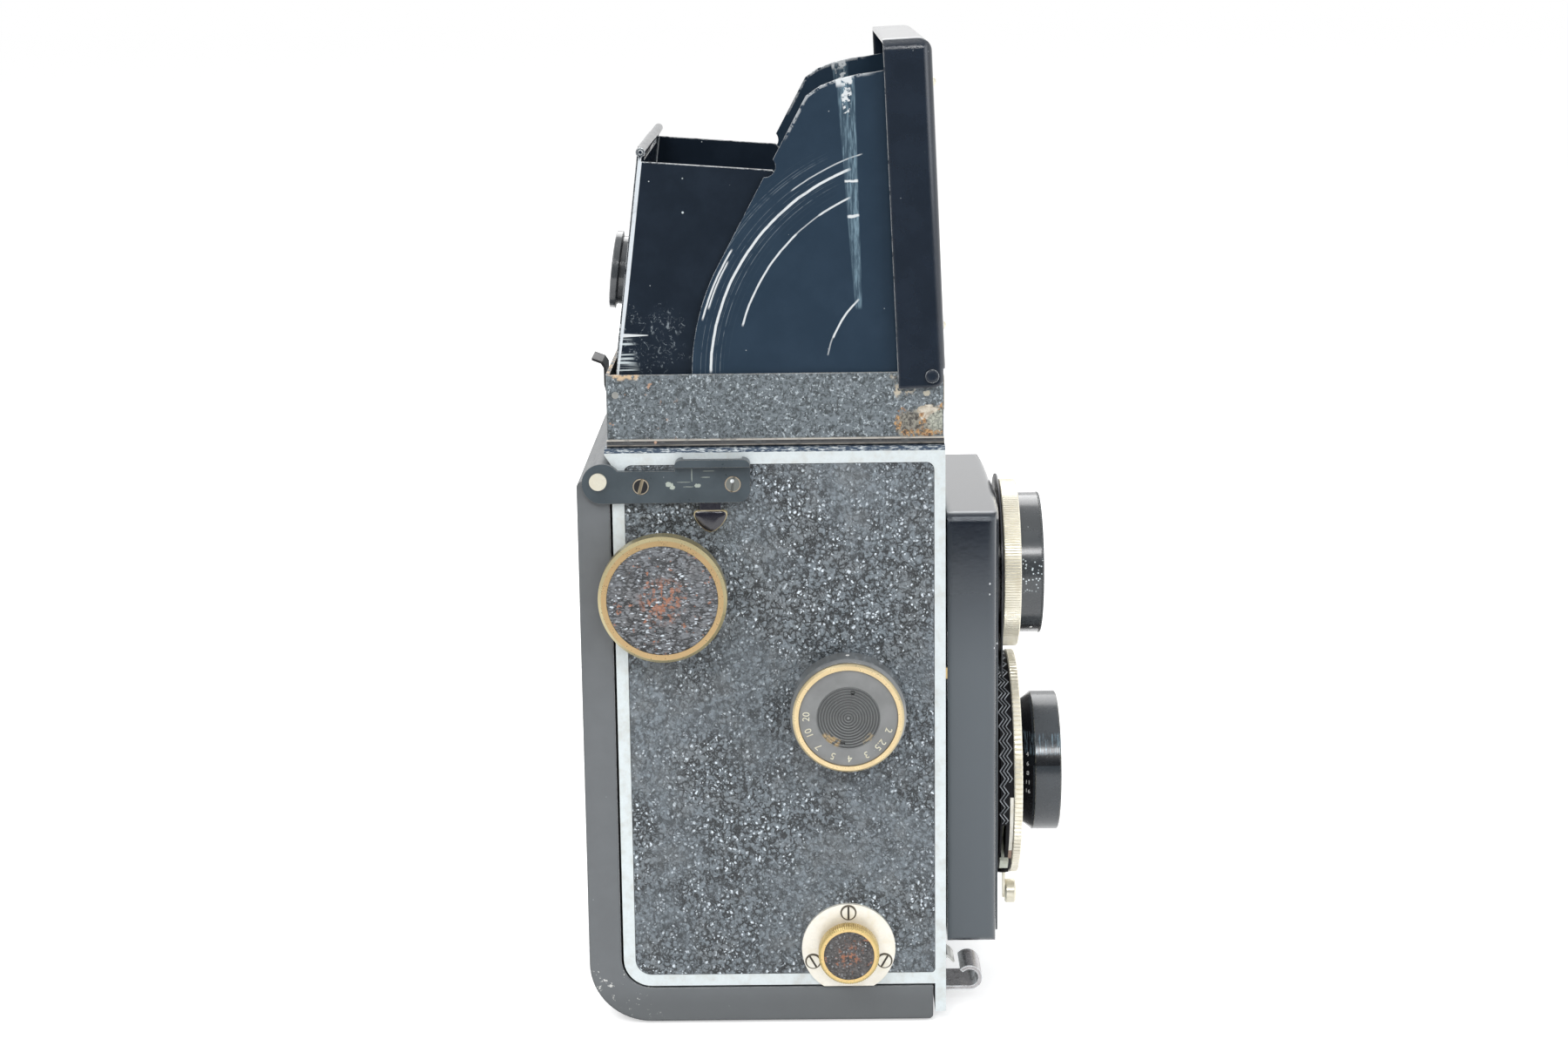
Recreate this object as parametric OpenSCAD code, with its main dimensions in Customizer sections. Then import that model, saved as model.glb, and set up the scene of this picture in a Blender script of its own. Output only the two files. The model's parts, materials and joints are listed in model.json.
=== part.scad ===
// Twin lens reflex camera with knob wind, hinged back and folding hood.
// X points the way the lenses look, Z is up, the knobs are on the -Y side.
// The origin is the mouth of the tripod thread, on the back's bottom face.

/* [Body] */
// Gap between the film spool's ends and the side walls
chamber_gap = 3.2; // [3:0.05:4.2]
// Depth of the casting from its rear edge to its front face
body_depth = 63; // [62.8:0.1:64]
// Distance from the tripod thread to the casting's front face
socket_to_front = 31.5; // [31:0.1:33]
// Height of the casting's side frames
frame_h = 106.4; // [106.2:0.1:108]
// Thickness of the casting's side walls
wall_t = 2.4; // [2.2:0.05:2.6]
// Thickness of the casting's front wall
front_t = 2.1; // [1.9:0.05:2.3]
// Thickness of the casting's top deck
deck_t = 2.4; // [2:0.1:2.8]
// Height of the deck's bevelled edge
deck_bevel = 0.7; // [0.4:0.1:1]
// Width of the bare metal edge round each leather panel
edge_w = 2.3; // [1.8:0.1:2.8]
// Outer radius of the casting's lower rear corner
frame_r = 5.5; // [4.5:0.1:6]
// Depth that the foot of the front wall reaches below the side frames
foot_drop = 5.8; // [5:0.1:6.4]
// Thickness of the leather covering
leather_t = 0.9; // [0.8:0.05:1.2]
// Depth of the recess that holds the leather
leather_recess = 0.8; // [0.6:0.05:0.8]

/* [Lenses] */
// Height of the taking lens axis above the tripod thread
take_z = 41.1; // [41:0.1:41.6]
// Distance between the two lens axes
lens_gap = 42; // [41.8:0.1:42.4]
// Outside diameter of both lens hoods, for push-on filters
hood_d = 28.5; // [28:0.1:30]
// Length of the viewing lens barrel in front of its knurled ring
view_barrel_len = 4.7; // [4:0.05:6]
// Diameter of the viewing lens's knurled ring
view_ring_d = 34; // [32:0.2:35]
// Width of the viewing lens's knurled ring
view_ring_w = 3.45; // [3:0.05:4]
// Diameter of the round top of the thin plate behind the viewing lens
view_flange_d = 36.3; // [35.6:0.1:37]
// Thickness of the thin plate behind the viewing lens
view_flange_t = 0.3; // [0.25:0.05:0.4]
// Gap between the standard's front and the thin plate behind the viewing lens
view_flange_gap = 0.4; // [0.3:0.05:0.6]
// Length of the shutter housing
shutter_len = 2.6; // [2.5:0.1:3.2]
// Diameter of the shutter's knurled ring
shutter_ring_d = 45.8; // [45.5:0.1:46.6]
// How far the shutter's knurled ring stands proud of the shutter housing
shutter_step = 0.4; // [0.3:0.05:0.6]
// Width of the shutter's knurled ring
shutter_ring_w = 1.75; // [1.4:0.05:2]
// Length of the cone between the shutter and the taking lens hood
take_cone_len = 3.2; // [3:0.05:4]
// Length of the taking lens hood
take_hood_len = 5.25; // [5:0.05:7]
// Clear diameter of the taking lens
take_glass_d = 19; // [17:0.2:20]
// Clear diameter of the viewing lens
view_glass_d = 23; // [20:0.2:24]
// Thickness of each lens glass at its middle
glass_t = 3.4; // [3:0.1:4]

/* [Lens standard] */
// Width of the lens standard
std_w = 61; // [60.6:0.1:61.4]
// Depth of the lens standard at its sides
std_depth = 9.4; // [9:0.1:10.4]
// How far the standard's front bows out at its middle
front_bow = 1.2; // [0.8:0.1:1.6]
// Thickness of the plate on the standard's front
plate_t = 0.4; // [0.3:0.05:0.5]
// Height of the standard below the taking lens axis
std_below = 28; // [27.4:0.1:28.6]
// Height of the standard above the viewing lens axis
std_above = 16.9; // [16.4:0.1:17.4]
// Gap between the casting's front face and the standard
std_gap = 0.7; // [0.6:0.05:1.2]
// Wall thickness of the standard
std_t = 1.5; // [1.3:0.05:1.6]
// Radius of the standard's front edges
std_front_r = 1.3; // [1:0.1:1.5]
// Radius of the standard's edges between its sides, top and bottom
std_side_r = 1.7; // [1.2:0.1:2.2]
// Travel of the lens standard from infinity to the nearest focus
focus_travel = 7.5; // [6:0.1:8]
// Pitch radius of the focusing pinions
pinion_r = 3; // [2.9:0.02:3.1]
// Number of teeth on each pinion
pinion_teeth = 12; // [12:1:12]
// Width of the focusing racks
rack_w = 1.8; // [1.5:0.1:1.9]

/* [Knobs] */
// Winding knob axis ahead of the casting's rear edge
wind_from_rear = 9.5; // [9.3:0.1:9.8]
// Winding knob axis below the top of the side frame
wind_below_top = 26.7; // [26.4:0.1:27.4]
// Diameter of the winding knob
wind_d = 24.3; // [23:0.1:25]
// Height of the winding knob's face above the side frame
wind_h = 8; // [7.4:0.1:9]
// Focusing knob axis behind the casting's front face
focus_from_front = 18.8; // [18.6:0.1:19.2]
// Focusing knob axis above the taking lens axis
focus_above_lens = 22.5; // [22.3:0.1:22.8]
// Diameter of the focusing knob's skirt
focus_d = 22.2; // [21:0.1:23]
// Height of the focusing knob's face above the side frame
focus_h = 7.7; // [7:0.1:8.5]
// Feed spool axis behind the casting's front face
feed_from_front = 19; // [18.4:0.1:19.6]
// Feed spool axis above the lower edge of the side frame
feed_above_frame = 7.7; // [7.2:0.1:8.2]
// Diameter of the feed spool knob's flange
feed_flange_d = 18.2; // [17.4:0.1:19]
// Diameter of the pull knobs
pull_d = 11.8; // [11:0.1:12.6]
// Thickness of the leather discs in the knobs
disc_t = 0.8; // [0.6:0.05:1]

/* [Film chamber] */
// Side of the square picture
frame_size = 56; // [55:0.5:56]
// Diameter of the film spool's flanges
spool_d = 20.8; // [20:0.1:21]
// Diameter of the film spool's core
spool_core_d = 9; // [8:0.2:11]
// Length of the film spool
spool_len = 62.8; // [62:0.1:63]
// Thickness of the reflex mirror
mirror_t = 1.5; // [1.2:0.1:1.6]
// Thickness of the light box walls
box_t = 0.8; // [0.7:0.05:0.9]
// Width of the clear space inside the light box
box_clear = 56.8; // [56.6:0.1:57]
// Thickness of the focusing screen
screen_t = 1.6; // [1.2:0.1:2]
// Radius of the film rollers
roller_r = 2.2; // [2:0.1:2.3]
// Radius of the rollers' axle ends
axle_r = 0.8; // [0.7:0.05:0.9]

/* [Back] */
// Distance that the back reaches behind the casting
back_reach = 6.7; // [6.4:0.1:7.4]
// Height of the back's bottom under the side frames
back_drop = 7.3; // [7.2:0.1:8]
// Sheet thickness of the back
back_t = 1; // [0.9:0.05:1.1]
// Outer radius of the back's lower rear corner
back_r = 12; // [11:0.2:13]
// Hinge axis behind the casting's rear edge
hinge_behind = 2.5; // [2.4:0.05:2.6]
// Hinge axis below the top of the side frame
hinge_below_top = 5.15; // [5.1:0.05:5.3]
// Radius of the hinge pins
hinge_pin_r = 1.2; // [1:0.05:1.3]
// Radius of the back's rolled hinge tube
hinge_tube_r = 2.1; // [1.9:0.05:2.15]
// Thickness of the hinge arms
arm_t = 1.2; // [1:0.1:1.5]
// Radius of the tripod thread
socket_r = 4.76; // [4.5:0.01:5]
// Depth of the tripod thread
socket_len = 6; // [5:0.1:7]
// Width of the back latch
latch_w = 9; // [8:0.2:10]
// Thickness of the back latch's strip
latch_t = 0.8; // [0.7:0.05:0.9]

/* [Hood] */
// Height of the hood's base above the deck
hood_base_h = 13.8; // [13.6:0.1:14.6]
// Width of the hood's base
hood_base_w = 69; // [68.9:0.1:69.2]
// Sheet thickness of the hood's base
hood_base_t = 0.7; // [0.6:0.02:0.72]
// Overhang of the hood's base behind the casting
hood_base_over = 0.9; // [0.8:0.05:1]
// Length of the lid beyond its pivot
lid_len = 63; // [62.8:0.1:63.6]
// Depth of the lid
lid_depth = 9.05; // [8.8:0.05:9.4]
// Sheet thickness of the lid
lid_t = 0.8; // [0.7:0.02:0.8]
// Height of the lid's face above its pivot when shut
lid_rise = 2.65; // [2.6:0.05:2.9]
// Lean of the open lid towards the rear
lid_lean = 2.35; // [1.5:0.05:3]
// Radius of the lid's corners seen from the side
lid_r = 2.8; // [2.2:0.1:3]
// Length of the rear wall from its hinge to its top pin
rear_wall_len = 45.8; // [45.6:0.1:46]
// Lean of the open rear wall towards the front
rear_wall_lean = 7.1; // [6.8:0.05:7.4]
// Thickness of the wings and the rear wall
sheet_t = 0.6; // [0.5:0.02:0.6]
// Radius of the lid wings' round lower edge about the lid pivot
wing_r = 45.2; // [44.8:0.1:46]
// Outside diameter of the magnifier ring
mag_d = 15.5; // [14.5:0.1:16]
// Distance from the magnifier's hinge to its centre
mag_reach = 26.5; // [26:0.1:27]

/* [Clearances] */
// Radial clearance of turning and sliding fits
run_fit = 0.05; // [0.03:0.01:0.07]
// Gap between a moving part and what it passes
pass_gap = 0.3; // [0.25:0.01:0.35]

/* [Hidden] */
$fn = 64;
eps = 0.01;

// The casting's faces
front_x = socket_to_front;
rear_x = front_x - body_depth;
frame_z0 = back_drop;
frame_z1 = frame_z0 + frame_h;
deck_z = frame_z1 + deck_bevel;
inner_w = spool_len / 2 + chamber_gap;
half_w = inner_w + wall_t;
front_in = front_x - front_t;
leather_face = half_w - leather_recess + leather_t;

// Lens and mirror axes
view_z = take_z + lens_gap;
mirror_x = 1;
mirror_line = mirror_x + view_z;
mirror_half = 37;
screen_z = frame_z1 - deck_t;
tube_out_r = 12.4;
view_tube_r = 14;
tube_back_x = front_in - 9.4;

// The lens standard, at infinity focus
std_x0 = front_x + std_gap;
std_x1 = std_x0 + std_depth;
std_z0 = take_z - std_below;
std_z1 = view_z + std_above;
bow_r = (pow(std_w / 2, 2) + pow(front_bow, 2)) / (2 * front_bow);
bow_x = std_x1 + front_bow - bow_r;
bow_steps = 8;
corner_steps = 6;
plate_x = std_x1 + front_bow + plate_t;
shutter_d = shutter_ring_d - 2 * shutter_step;
view_plate_x = plate_x + view_flange_gap;
view_ring_x = view_plate_x + view_flange_t + pass_gap;
view_barrel_x = view_ring_x + view_ring_w;
take_seat_r = shutter_d / 2 - 1;
view_seat_r = view_flange_d / 2 - 3.5;

// The shutter, its two levers and the taking lens
shut_x = plate_x + shutter_len;
take_x = shut_x + shutter_ring_w + 0.1;
lever_slot = 0.7;
stop_lever_t = 0.6;
socket_bore_r = 0.85;
lever_reach = shutter_d / 2 + 6;
release_ring_r = shutter_d / 2 - 4.1;
stop_ring_r = shutter_d / 2 - 5.5;
stop_tab_r = shutter_d / 2 + 1.6;
stop_x = plate_x + 0.5;

// Knob and spool axes
wind_x = rear_x + wind_from_rear;
wind_z = frame_z1 - wind_below_top;
focus_x = front_x - focus_from_front;
focus_z = take_z + focus_above_lens;
feed_x = front_x - feed_from_front;
feed_z = frame_z0 + feed_above_frame;
shaft_r = 1.8;
wind_shaft_r = 2.8;
spool_bore_r = wind_shaft_r + 0.1;
pull_pin_r = 2.2;

// Focusing rack and pinions
rack_y0 = (box_clear / 2 + box_t) + pass_gap;
rack_y1 = rack_y0 + rack_w;
rack_pitch = 2 * PI * pinion_r / pinion_teeth;
tooth_h = rack_pitch / PI;
rack_z = focus_z + pinion_r;
rack_top = rack_z + 2.8;
rack_x0 = focus_x - focus_travel - 3.2;
rack_x1 = front_in - focus_travel - 0.5;
stem_w = 0.9;
stem_z = rack_z + 0.6;

// Film gate and rollers
gate_x0 = rear_x + 0.2;
gate_x1 = gate_x0 + 1;
gate_w = spool_len + 0.2;
mouth = tube_out_r + 0.5;
low_roller = [gate_x0 + 3.7, take_z - frame_size / 2 - 3.5];
high_roller = [gate_x0 + 2.4, take_z + frame_size / 2 + 4.4];

// The back
back_x = rear_x - back_reach;
flange_gap = 0.45;
hinge_x = rear_x - hinge_behind;
hinge_z = frame_z1 - hinge_below_top;
back_top = hinge_z - 0.15;
back_front = front_in - 0.4;
arm_y0 = leather_face;
arm_y1 = arm_y0 + arm_t;
arm_x1 = hinge_x + 28.7;
arm_z0 = hinge_z - 4.3;
arm_z1 = hinge_z + 1.9;
loop_x0 = hinge_x + 14.5;
arm_screws = [[hinge_x + 8.05, hinge_z - 1.05], [hinge_x + 25.4, hinge_z - 0.75]];
plate_front = rear_x - 0.15;
plate_half = 32;

// The latch strip, its curl and its spring
latch_y = half_w - 10.5;
latch_z = 3.5;
latch_x0 = back_front - back_t - 0.7;
curl_x = front_x + 5;
curl_r = 2.5;

// The hood's base and the pivots of lid and rear wall
base_x0 = rear_x - hood_base_over;
base_x1 = front_x - 0.1;
base_z1 = deck_z + hood_base_h;
base_half = hood_base_w / 2;
lid_px = front_x - 2.4;
lid_pz = base_z1 - 0.65;
lid_pin_r = 0.9;
lid_half = base_half + pass_gap + lid_t;
rear_px = base_x0 + hood_base_t + 1.1;
rear_pz = base_z1 - 3.8;
catch_px = base_x0 - 1.1;
catch_pz = deck_z + 3.6;
catch_half = 4.5;
catch_r = 0.8;
curl_out = 0.8;
pin_r = 0.45;
wing_y1 = base_half - hood_base_t - 0.2;
wing_y0 = wing_y1 - sheet_t;
rear_wing_y1 = wing_y0 - 0.2;
rear_wing_y0 = rear_wing_y1 - sheet_t;
mag_out = 2.85;
mag_half = rear_wing_y0 - 12.2;
mag_foot = 4.8;
mag_wall = 1.6;

// ---- Helpers ----

// Sweeps an outline drawn in X and Z from y0 to y1
module side_sweep(y0, y1) {
  rotate([90, 0, 0]) translate([0, 0, -y1]) linear_extrude(y1 - y0) children();
}

// Sweeps an outline drawn in Y and Z from x0 to x1
module front_sweep(x0, x1) {
  translate([x0, 0, 0]) rotate([90, 0, 90]) linear_extrude(x1 - x0) children();
}

// Draws a part and its mirror image on the other side
module both_sides() {
  children();
  mirror([0, 1, 0]) children();
}

// A rod along X, and one along Y on the knob side between distances y0 and y1
module x_rod(x0, x1, z, r) {
  translate([x0, 0, z]) rotate([0, 90, 0]) cylinder(h = x1 - x0, r = r);
}

module y_rod(x, z, y0, y1, r) {
  translate([x, -y0, z]) rotate([90, 0, 0]) cylinder(h = y1 - y0, r = r);
}

// Turns a profile of radius and distance about a lens axis, or about a knob axis
module x_turn(x, z) {
  translate([x, 0, z]) rotate([0, 90, 0]) rotate_extrude() children();
}

module y_turn(x, z) {
  translate([x, 0, z]) rotate([90, 0, 0]) rotate_extrude() children();
}

// What a rounded corner leaves of a square corner at the origin
module corner_waste(r) {
  if (r > 0) difference() {
    translate([-1, -1]) square(r + 1);
    translate([r, r]) circle(r);
  }
}

// A rectangle with its own radius at each corner
module soft_rect(x0, y0, x1, y1, bl, br, tr, tl) {
  difference() {
    translate([x0, y0]) square([x1 - x0, y1 - y0]);
    translate([x0, y0]) corner_waste(bl);
    translate([x1, y0]) rotate(90) corner_waste(br);
    translate([x1, y1]) rotate(180) corner_waste(tr);
    translate([x0, y1]) rotate(270) corner_waste(tl);
  }
}

// A ring profile between two radii and two distances, with bevelled outer edges
module ring_profile(r0, r1, h0, h1, bevel) {
  polygon([
    [r0, h0], [r1 - bevel, h0], [r1, h0 + bevel], [r1, h1 - bevel], [r1 - bevel, h1], [r0, h1]
  ]);
}

// A slotted screw with a domed or flat head, its axis along Y
module side_screw(x, z, y, head_r, turn) {
  difference() {
    union() {
      y_rod(x, z, y, y + 0.35, head_r);
      y_rod(x, z, y - 1.6, y + eps, head_r * 0.5);
    }
    translate([x, -y - 0.35, z]) rotate([0, turn, 0]) cube([head_r * 3, 0.5, 0.4], center = true);
  }
}

// ---- Body ----

module casting_outline() {
  polygon([
    [rear_x, frame_z0 + frame_r], [rear_x + frame_r, frame_z0], [front_in, frame_z0],
    [front_in, frame_z0 - foot_drop], [front_x, frame_z0 - foot_drop], [front_x, deck_z],
    [rear_x - 1.3, deck_z], [rear_x - 1.3, frame_z1 - 0.3], [rear_x, frame_z1 - 2.3]
  ]);
  intersection() {
    translate([rear_x + frame_r, frame_z0 + frame_r]) circle(frame_r);
    translate([rear_x, frame_z0]) square(frame_r);
  }
}

module leather_outline(gap) {
  soft_rect(
    rear_x + edge_w + gap, frame_z0 + edge_w + gap, front_x - edge_w + 0.2 - gap, frame_z1 - edge_w - gap,
    frame_r - edge_w, 0.8, 1.5, 1.5
  );
}

// The bores that cross the right side: shafts, pins and screws
module right_side_bores(y0, y1) {
  y_rod(wind_x, wind_z, y0, y1, wind_shaft_r + run_fit);
  y_rod(focus_x, focus_z, y0, y1, shaft_r + run_fit);
  y_rod(feed_x, feed_z, y0, y1, pull_pin_r + run_fit);
  for (a = [90, 200, 340]) {
    y_rod(feed_x + 7.4 * cos(a), feed_z + 7.4 * sin(a), y0, y1, 0.7);
  }
}

module left_side_bores(y0, y1) {
  mirror([0, 1, 0]) y_rod(wind_x, wind_z, y0, y1, pull_pin_r + run_fit);
}

module body_casting() {
  color("silver") difference() {
    side_sweep(-half_w, half_w) casting_outline();
    side_sweep(-inner_w, inner_w) polygon([
      [rear_x - 5, frame_z0 - 1], [front_in, frame_z0 - 1], [front_in, screen_z], [rear_x - 5, screen_z]
    ]);
    translate([base_x0 + hood_base_t, -wing_y1 - 0.1, screen_z - 1])
      cube([front_in - base_x0 - hood_base_t, 2 * wing_y1 + 0.2, 10]);
    both_sides() {
      side_sweep(half_w - leather_recess, half_w + 1) leather_outline(0);
      front_sweep(rear_x - 3, front_x + 1) polygon([
        [half_w + 1, deck_z + 1], [half_w + 1, frame_z1 - 1],
        [half_w, frame_z1], [half_w - deck_bevel, deck_z], [half_w - deck_bevel, deck_z + 1]
      ]);
      for (s = arm_screws) {
        y_rod(s[0], s[1], half_w - 1.7, half_w + 1, 0.78);
      }
      translate([front_in - 1, rack_y0 - 0.1, stem_z - 0.1])
        cube([front_t + 2, stem_w + 0.2, rack_top - stem_z + 0.2]);
    }
    right_side_bores(inner_w - 1, half_w + 1);
    left_side_bores(inner_w - 1, half_w + 1);
    mirror([0, 1, 0]) y_rod(focus_x, focus_z, inner_w - 1, inner_w + 0.9, shaft_r + run_fit);
    both_sides() for (p = [low_roller, high_roller]) {
      y_rod(p[0], p[1], inner_w - 1, inner_w + 0.9, axle_r + run_fit);
    }
    x_rod(front_in - 1, front_x + 1, take_z, tube_out_r + run_fit);
    x_rod(front_in - 1, front_x + 1, view_z, view_tube_r + run_fit);
    translate([front_in - 1, -latch_y - latch_w / 2 - 0.1, latch_z - 0.1])
      cube([front_t + 2, latch_w + 0.2, latch_t + 0.2]);
  }
}

module leather_right() {
  color([0.13, 0.13, 0.14]) difference() {
    side_sweep(-leather_face, -(half_w - leather_recess)) leather_outline(0.1);
    right_side_bores(half_w - 2, half_w + 2);
    for (s = arm_screws) {
      y_rod(s[0], s[1], half_w - 2, half_w + 2, 0.78);
    }
  }
}

module leather_left() {
  color([0.13, 0.13, 0.14]) difference() {
    side_sweep(half_w - leather_recess, leather_face) leather_outline(0.1);
    left_side_bores(half_w - 2, half_w + 2);
    for (s = arm_screws) {
      mirror([0, 1, 0]) y_rod(s[0], s[1], half_w - 2, half_w + 2, 0.78);
    }
  }
}

module light_box() {
  half_in = box_clear / 2;
  half_out = half_in + box_t;
  z0 = take_z - frame_size / 2;
  z1 = take_z + frame_size / 2;
  under = mirror_line - sqrt(2) * (mirror_t + box_t);
  seat = mirror_line - sqrt(2) * mirror_t;
  knee_x = feed_x - 10.5;
  color([0.16, 0.16, 0.17]) difference() {
    union() {
      side_sweep(-half_out, half_out) polygon([
        [front_in, take_z - mouth - box_t], [knee_x, take_z - mouth - box_t], [gate_x0, z0 - 1.5],
        [gate_x0, z1 + 1.5], [front_in, take_z + mouth + box_t + 0.5]
      ]);
      side_sweep(-half_out, half_out) polygon([
        [front_in, under - front_in], [under - screen_z, screen_z], [front_in, screen_z]
      ]);
      translate([gate_x0, -gate_w / 2, z0 - 1.5]) cube([gate_x1 - gate_x0, gate_w, frame_size + 3]);
    }
    side_sweep(-half_in, half_in) polygon([
      [front_in + 1, take_z - mouth], [knee_x, take_z - mouth], [gate_x1, z0],
      [gate_x1, z1], [front_in + 1, take_z + mouth + 0.5]
    ]);
    translate([gate_x0 - 1, -frame_size / 2, z0]) cube([4, frame_size, frame_size]);
    side_sweep(-half_in, half_in) polygon([
      [front_in + 1, view_z - 27.5], [seat - view_z + 27.5, view_z - 27.5],
      [seat - screen_z, screen_z], [seat - screen_z, screen_z + 1], [front_in + 1, screen_z + 1]
    ]);
  }
}

module reflex_mirror() {
  color([0.82, 0.86, 0.9]) translate([mirror_x, 0, view_z]) rotate([0, 45, 0])
    translate([-mirror_half, -box_clear / 2 + 0.4, -mirror_t])
      cube([2 * mirror_half, box_clear - 0.8, mirror_t]);
}

module focusing_screen() {
  x0 = mirror_line - screen_z - 0.8;
  x1 = front_in - 0.4;
  color([0.8, 0.85, 0.85, 0.6]) translate([x0, -box_clear / 2 - box_t, screen_z])
    cube([x1 - x0, box_clear + 2 * box_t, screen_t]);
}

module film_rollers() {
  color([0.75, 0.75, 0.77]) for (p = [low_roller, high_roller]) {
    y_rod(p[0], p[1], -spool_len / 2 + 0.4, spool_len / 2 - 0.4, roller_r);
    y_rod(p[0], p[1], -inner_w - 0.7, inner_w + 0.7, axle_r);
  }
}

// ---- Hinge arms and feed spool flange ----

module arm_plate() {
  round_r = (hinge_z + 3.35 - arm_z0) / 2;
  difference() {
    union() {
      side_sweep(-arm_y1, -arm_y0) {
        translate([hinge_x + 0.7, arm_z0 + round_r]) circle(round_r);
        soft_rect(hinge_x + 0.7, arm_z0, arm_x1, arm_z1, 0, 2.4, 0.4, 0);
        soft_rect(loop_x0, arm_z1 - 1, arm_x1, arm_z1 + 0.7, 0, 0, 0.6, 0.4);
      }
      difference() {
        side_sweep(-arm_y1 - 1.7, -arm_y0)
          soft_rect(loop_x0, arm_z1 - 0.6, arm_x1, arm_z1 + 2.4, 0.6, 0.6, 1.3, 1.3);
        side_sweep(-arm_y1 - 0.6, -arm_y0 + 1)
          soft_rect(loop_x0 + 1.5, arm_z1 + 0.7, arm_x1 - 1.5, arm_z1 + 5, 0, 0, 0, 0);
        side_sweep(-arm_y1 - 3, -arm_y1)
          soft_rect(loop_x0 - 1, arm_z1 - 2, arm_x1 + 1, arm_z1 + 0.9, 0, 0, 0, 0);
      }
    }
    y_rod(hinge_x, hinge_z, arm_y0 - 1, arm_y1 + 1, hinge_pin_r);
    for (s = arm_screws) {
      y_rod(s[0], s[1], arm_y0 - 1, arm_y1 + 1, 0.78);
      y_rod(s[0], s[1], arm_y1 - 0.3, arm_y1 + 1, 1.55);
    }
  }
}

module hinge_arms() {
  color([0.12, 0.13, 0.15]) both_sides() arm_plate();
}

module arm_screws() {
  color([0.35, 0.35, 0.36]) both_sides() for (s = arm_screws) {
    side_screw(s[0], s[1], arm_y1 - 0.3, 1.5, 100);
  }
}

module shield_tabs() {
  x = hinge_x + 21.1;
  z = hinge_z - 7.3;
  color([0.06, 0.06, 0.07]) both_sides() {
    side_sweep(-leather_face - 0.9, -leather_face)
      soft_rect(x - 1.8, z, x + 1.8, arm_z0, 0, 0, 0, 0);
    side_sweep(-leather_face - 1.6, -leather_face) hull() {
      translate([x - 2.5, z]) circle(0.75, $fn = 24);
      translate([x + 2.5, z]) circle(0.75, $fn = 24);
      translate([x, z - 1.7]) circle(1, $fn = 24);
    }
  }
}

module feed_flange() {
  color([0.86, 0.83, 0.74]) difference() {
    y_rod(feed_x, feed_z, leather_face, leather_face + 0.8, feed_flange_d / 2);
    y_rod(feed_x, feed_z, leather_face - 1, leather_face + 2, pull_pin_r + run_fit);
    for (a = [90, 200, 340]) {
      y_rod(feed_x + 7.4 * cos(a), feed_z + 7.4 * sin(a), leather_face - 1, leather_face + 2, 0.7);
    }
    translate([feed_x - 20, -leather_face - 5, frame_z0 - 20]) cube([40, 10, 20]);
  }
}

module flange_screws() {
  color([0.75, 0.72, 0.62]) for (a = [90, 200, 340]) {
    side_screw(feed_x + 7.4 * cos(a), feed_z + 7.4 * sin(a), leather_face + 0.8, 1.25, 3 * a);
  }
}

// ---- Hood base ----

module name_plate() {
  color([0.75, 0.62, 0.35]) translate([base_x1, -20, deck_z + 4]) cube([0.8, 40, 6.6]);
}

module hood_base() {
  color([0.15, 0.15, 0.16]) difference() {
    union() {
      translate([0, 0, deck_z]) linear_extrude(hood_base_h)
        soft_rect(base_x0, -base_half, base_x1, base_half, 1, 1, 1, 1);
      both_sides() {
        front_sweep(base_x0, base_x1) translate([base_half + 0.1, deck_z + 0.75]) circle(0.75);
        y_rod(lid_px, lid_pz, base_half - hood_base_t, base_half, 1.7);
        side_sweep(catch_half + 0.3, catch_half + 1.1)
          soft_rect(catch_px - 0.8, catch_pz - 0.9, base_x0, catch_pz + 0.9, 0.8, 0, 0, 0.8);
      }
    }
    translate([0, 0, deck_z - 1]) linear_extrude(hood_base_h + 5) soft_rect(
      base_x0 + hood_base_t, -base_half + hood_base_t,
      base_x1 - hood_base_t, base_half - hood_base_t, 0.3, 0.3, 0.3, 0.3
    );
    y_rod(lid_px, lid_pz, -base_half - 1, base_half + 1, lid_pin_r + run_fit);
    y_rod(rear_px, rear_pz, -base_half - 1, base_half + 1, pin_r);
    y_rod(catch_px, catch_pz, -base_half, base_half, pin_r);
  }
}

// The wire pins that carry the rear wall and the catch
module hood_rivets() {
  color([0.6, 0.58, 0.52]) {
    both_sides() y_rod(rear_px, rear_pz, base_half, base_half + 0.25, pin_r + 0.2);
    y_rod(rear_px, rear_pz, -base_half, base_half, pin_r);
    y_rod(catch_px, catch_pz, -catch_half - 1.1, catch_half + 1.1, pin_r);
  }
}

// The two headed pins that turn in the hood's base and carry the lid
module lid_pivots() {
  color([0.6, 0.58, 0.52]) both_sides() {
    y_rod(lid_px, lid_pz, base_half - hood_base_t, lid_half + 0.1, lid_pin_r);
    y_rod(lid_px, lid_pz, lid_half + 0.1, lid_half + 0.45, lid_pin_r + 0.4);
  }
}

module hood_catch() {
  x = catch_px;
  z = catch_pz;
  color([0.1, 0.1, 0.11]) difference() {
    union() {
      y_rod(x, z, -catch_half, catch_half, catch_r);
      side_sweep(-catch_half, catch_half) polygon([
        [x - 0.6, z], [x - 0.1, z], [x - 1, z + 3.6], [x - 1, z + 7], [x - 1.7, z + 8.1], [x - 3.8, z + 8.9],
        [x - 3.8, z + 8.4], [x - 2, z + 7.7], [x - 1.45, z + 6.8], [x - 1.45, z + 3.5]
      ]);
    }
    y_rod(x, z, -catch_half - 1, catch_half + 1, pin_r + run_fit);
  }
}

// ---- Back ----

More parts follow.
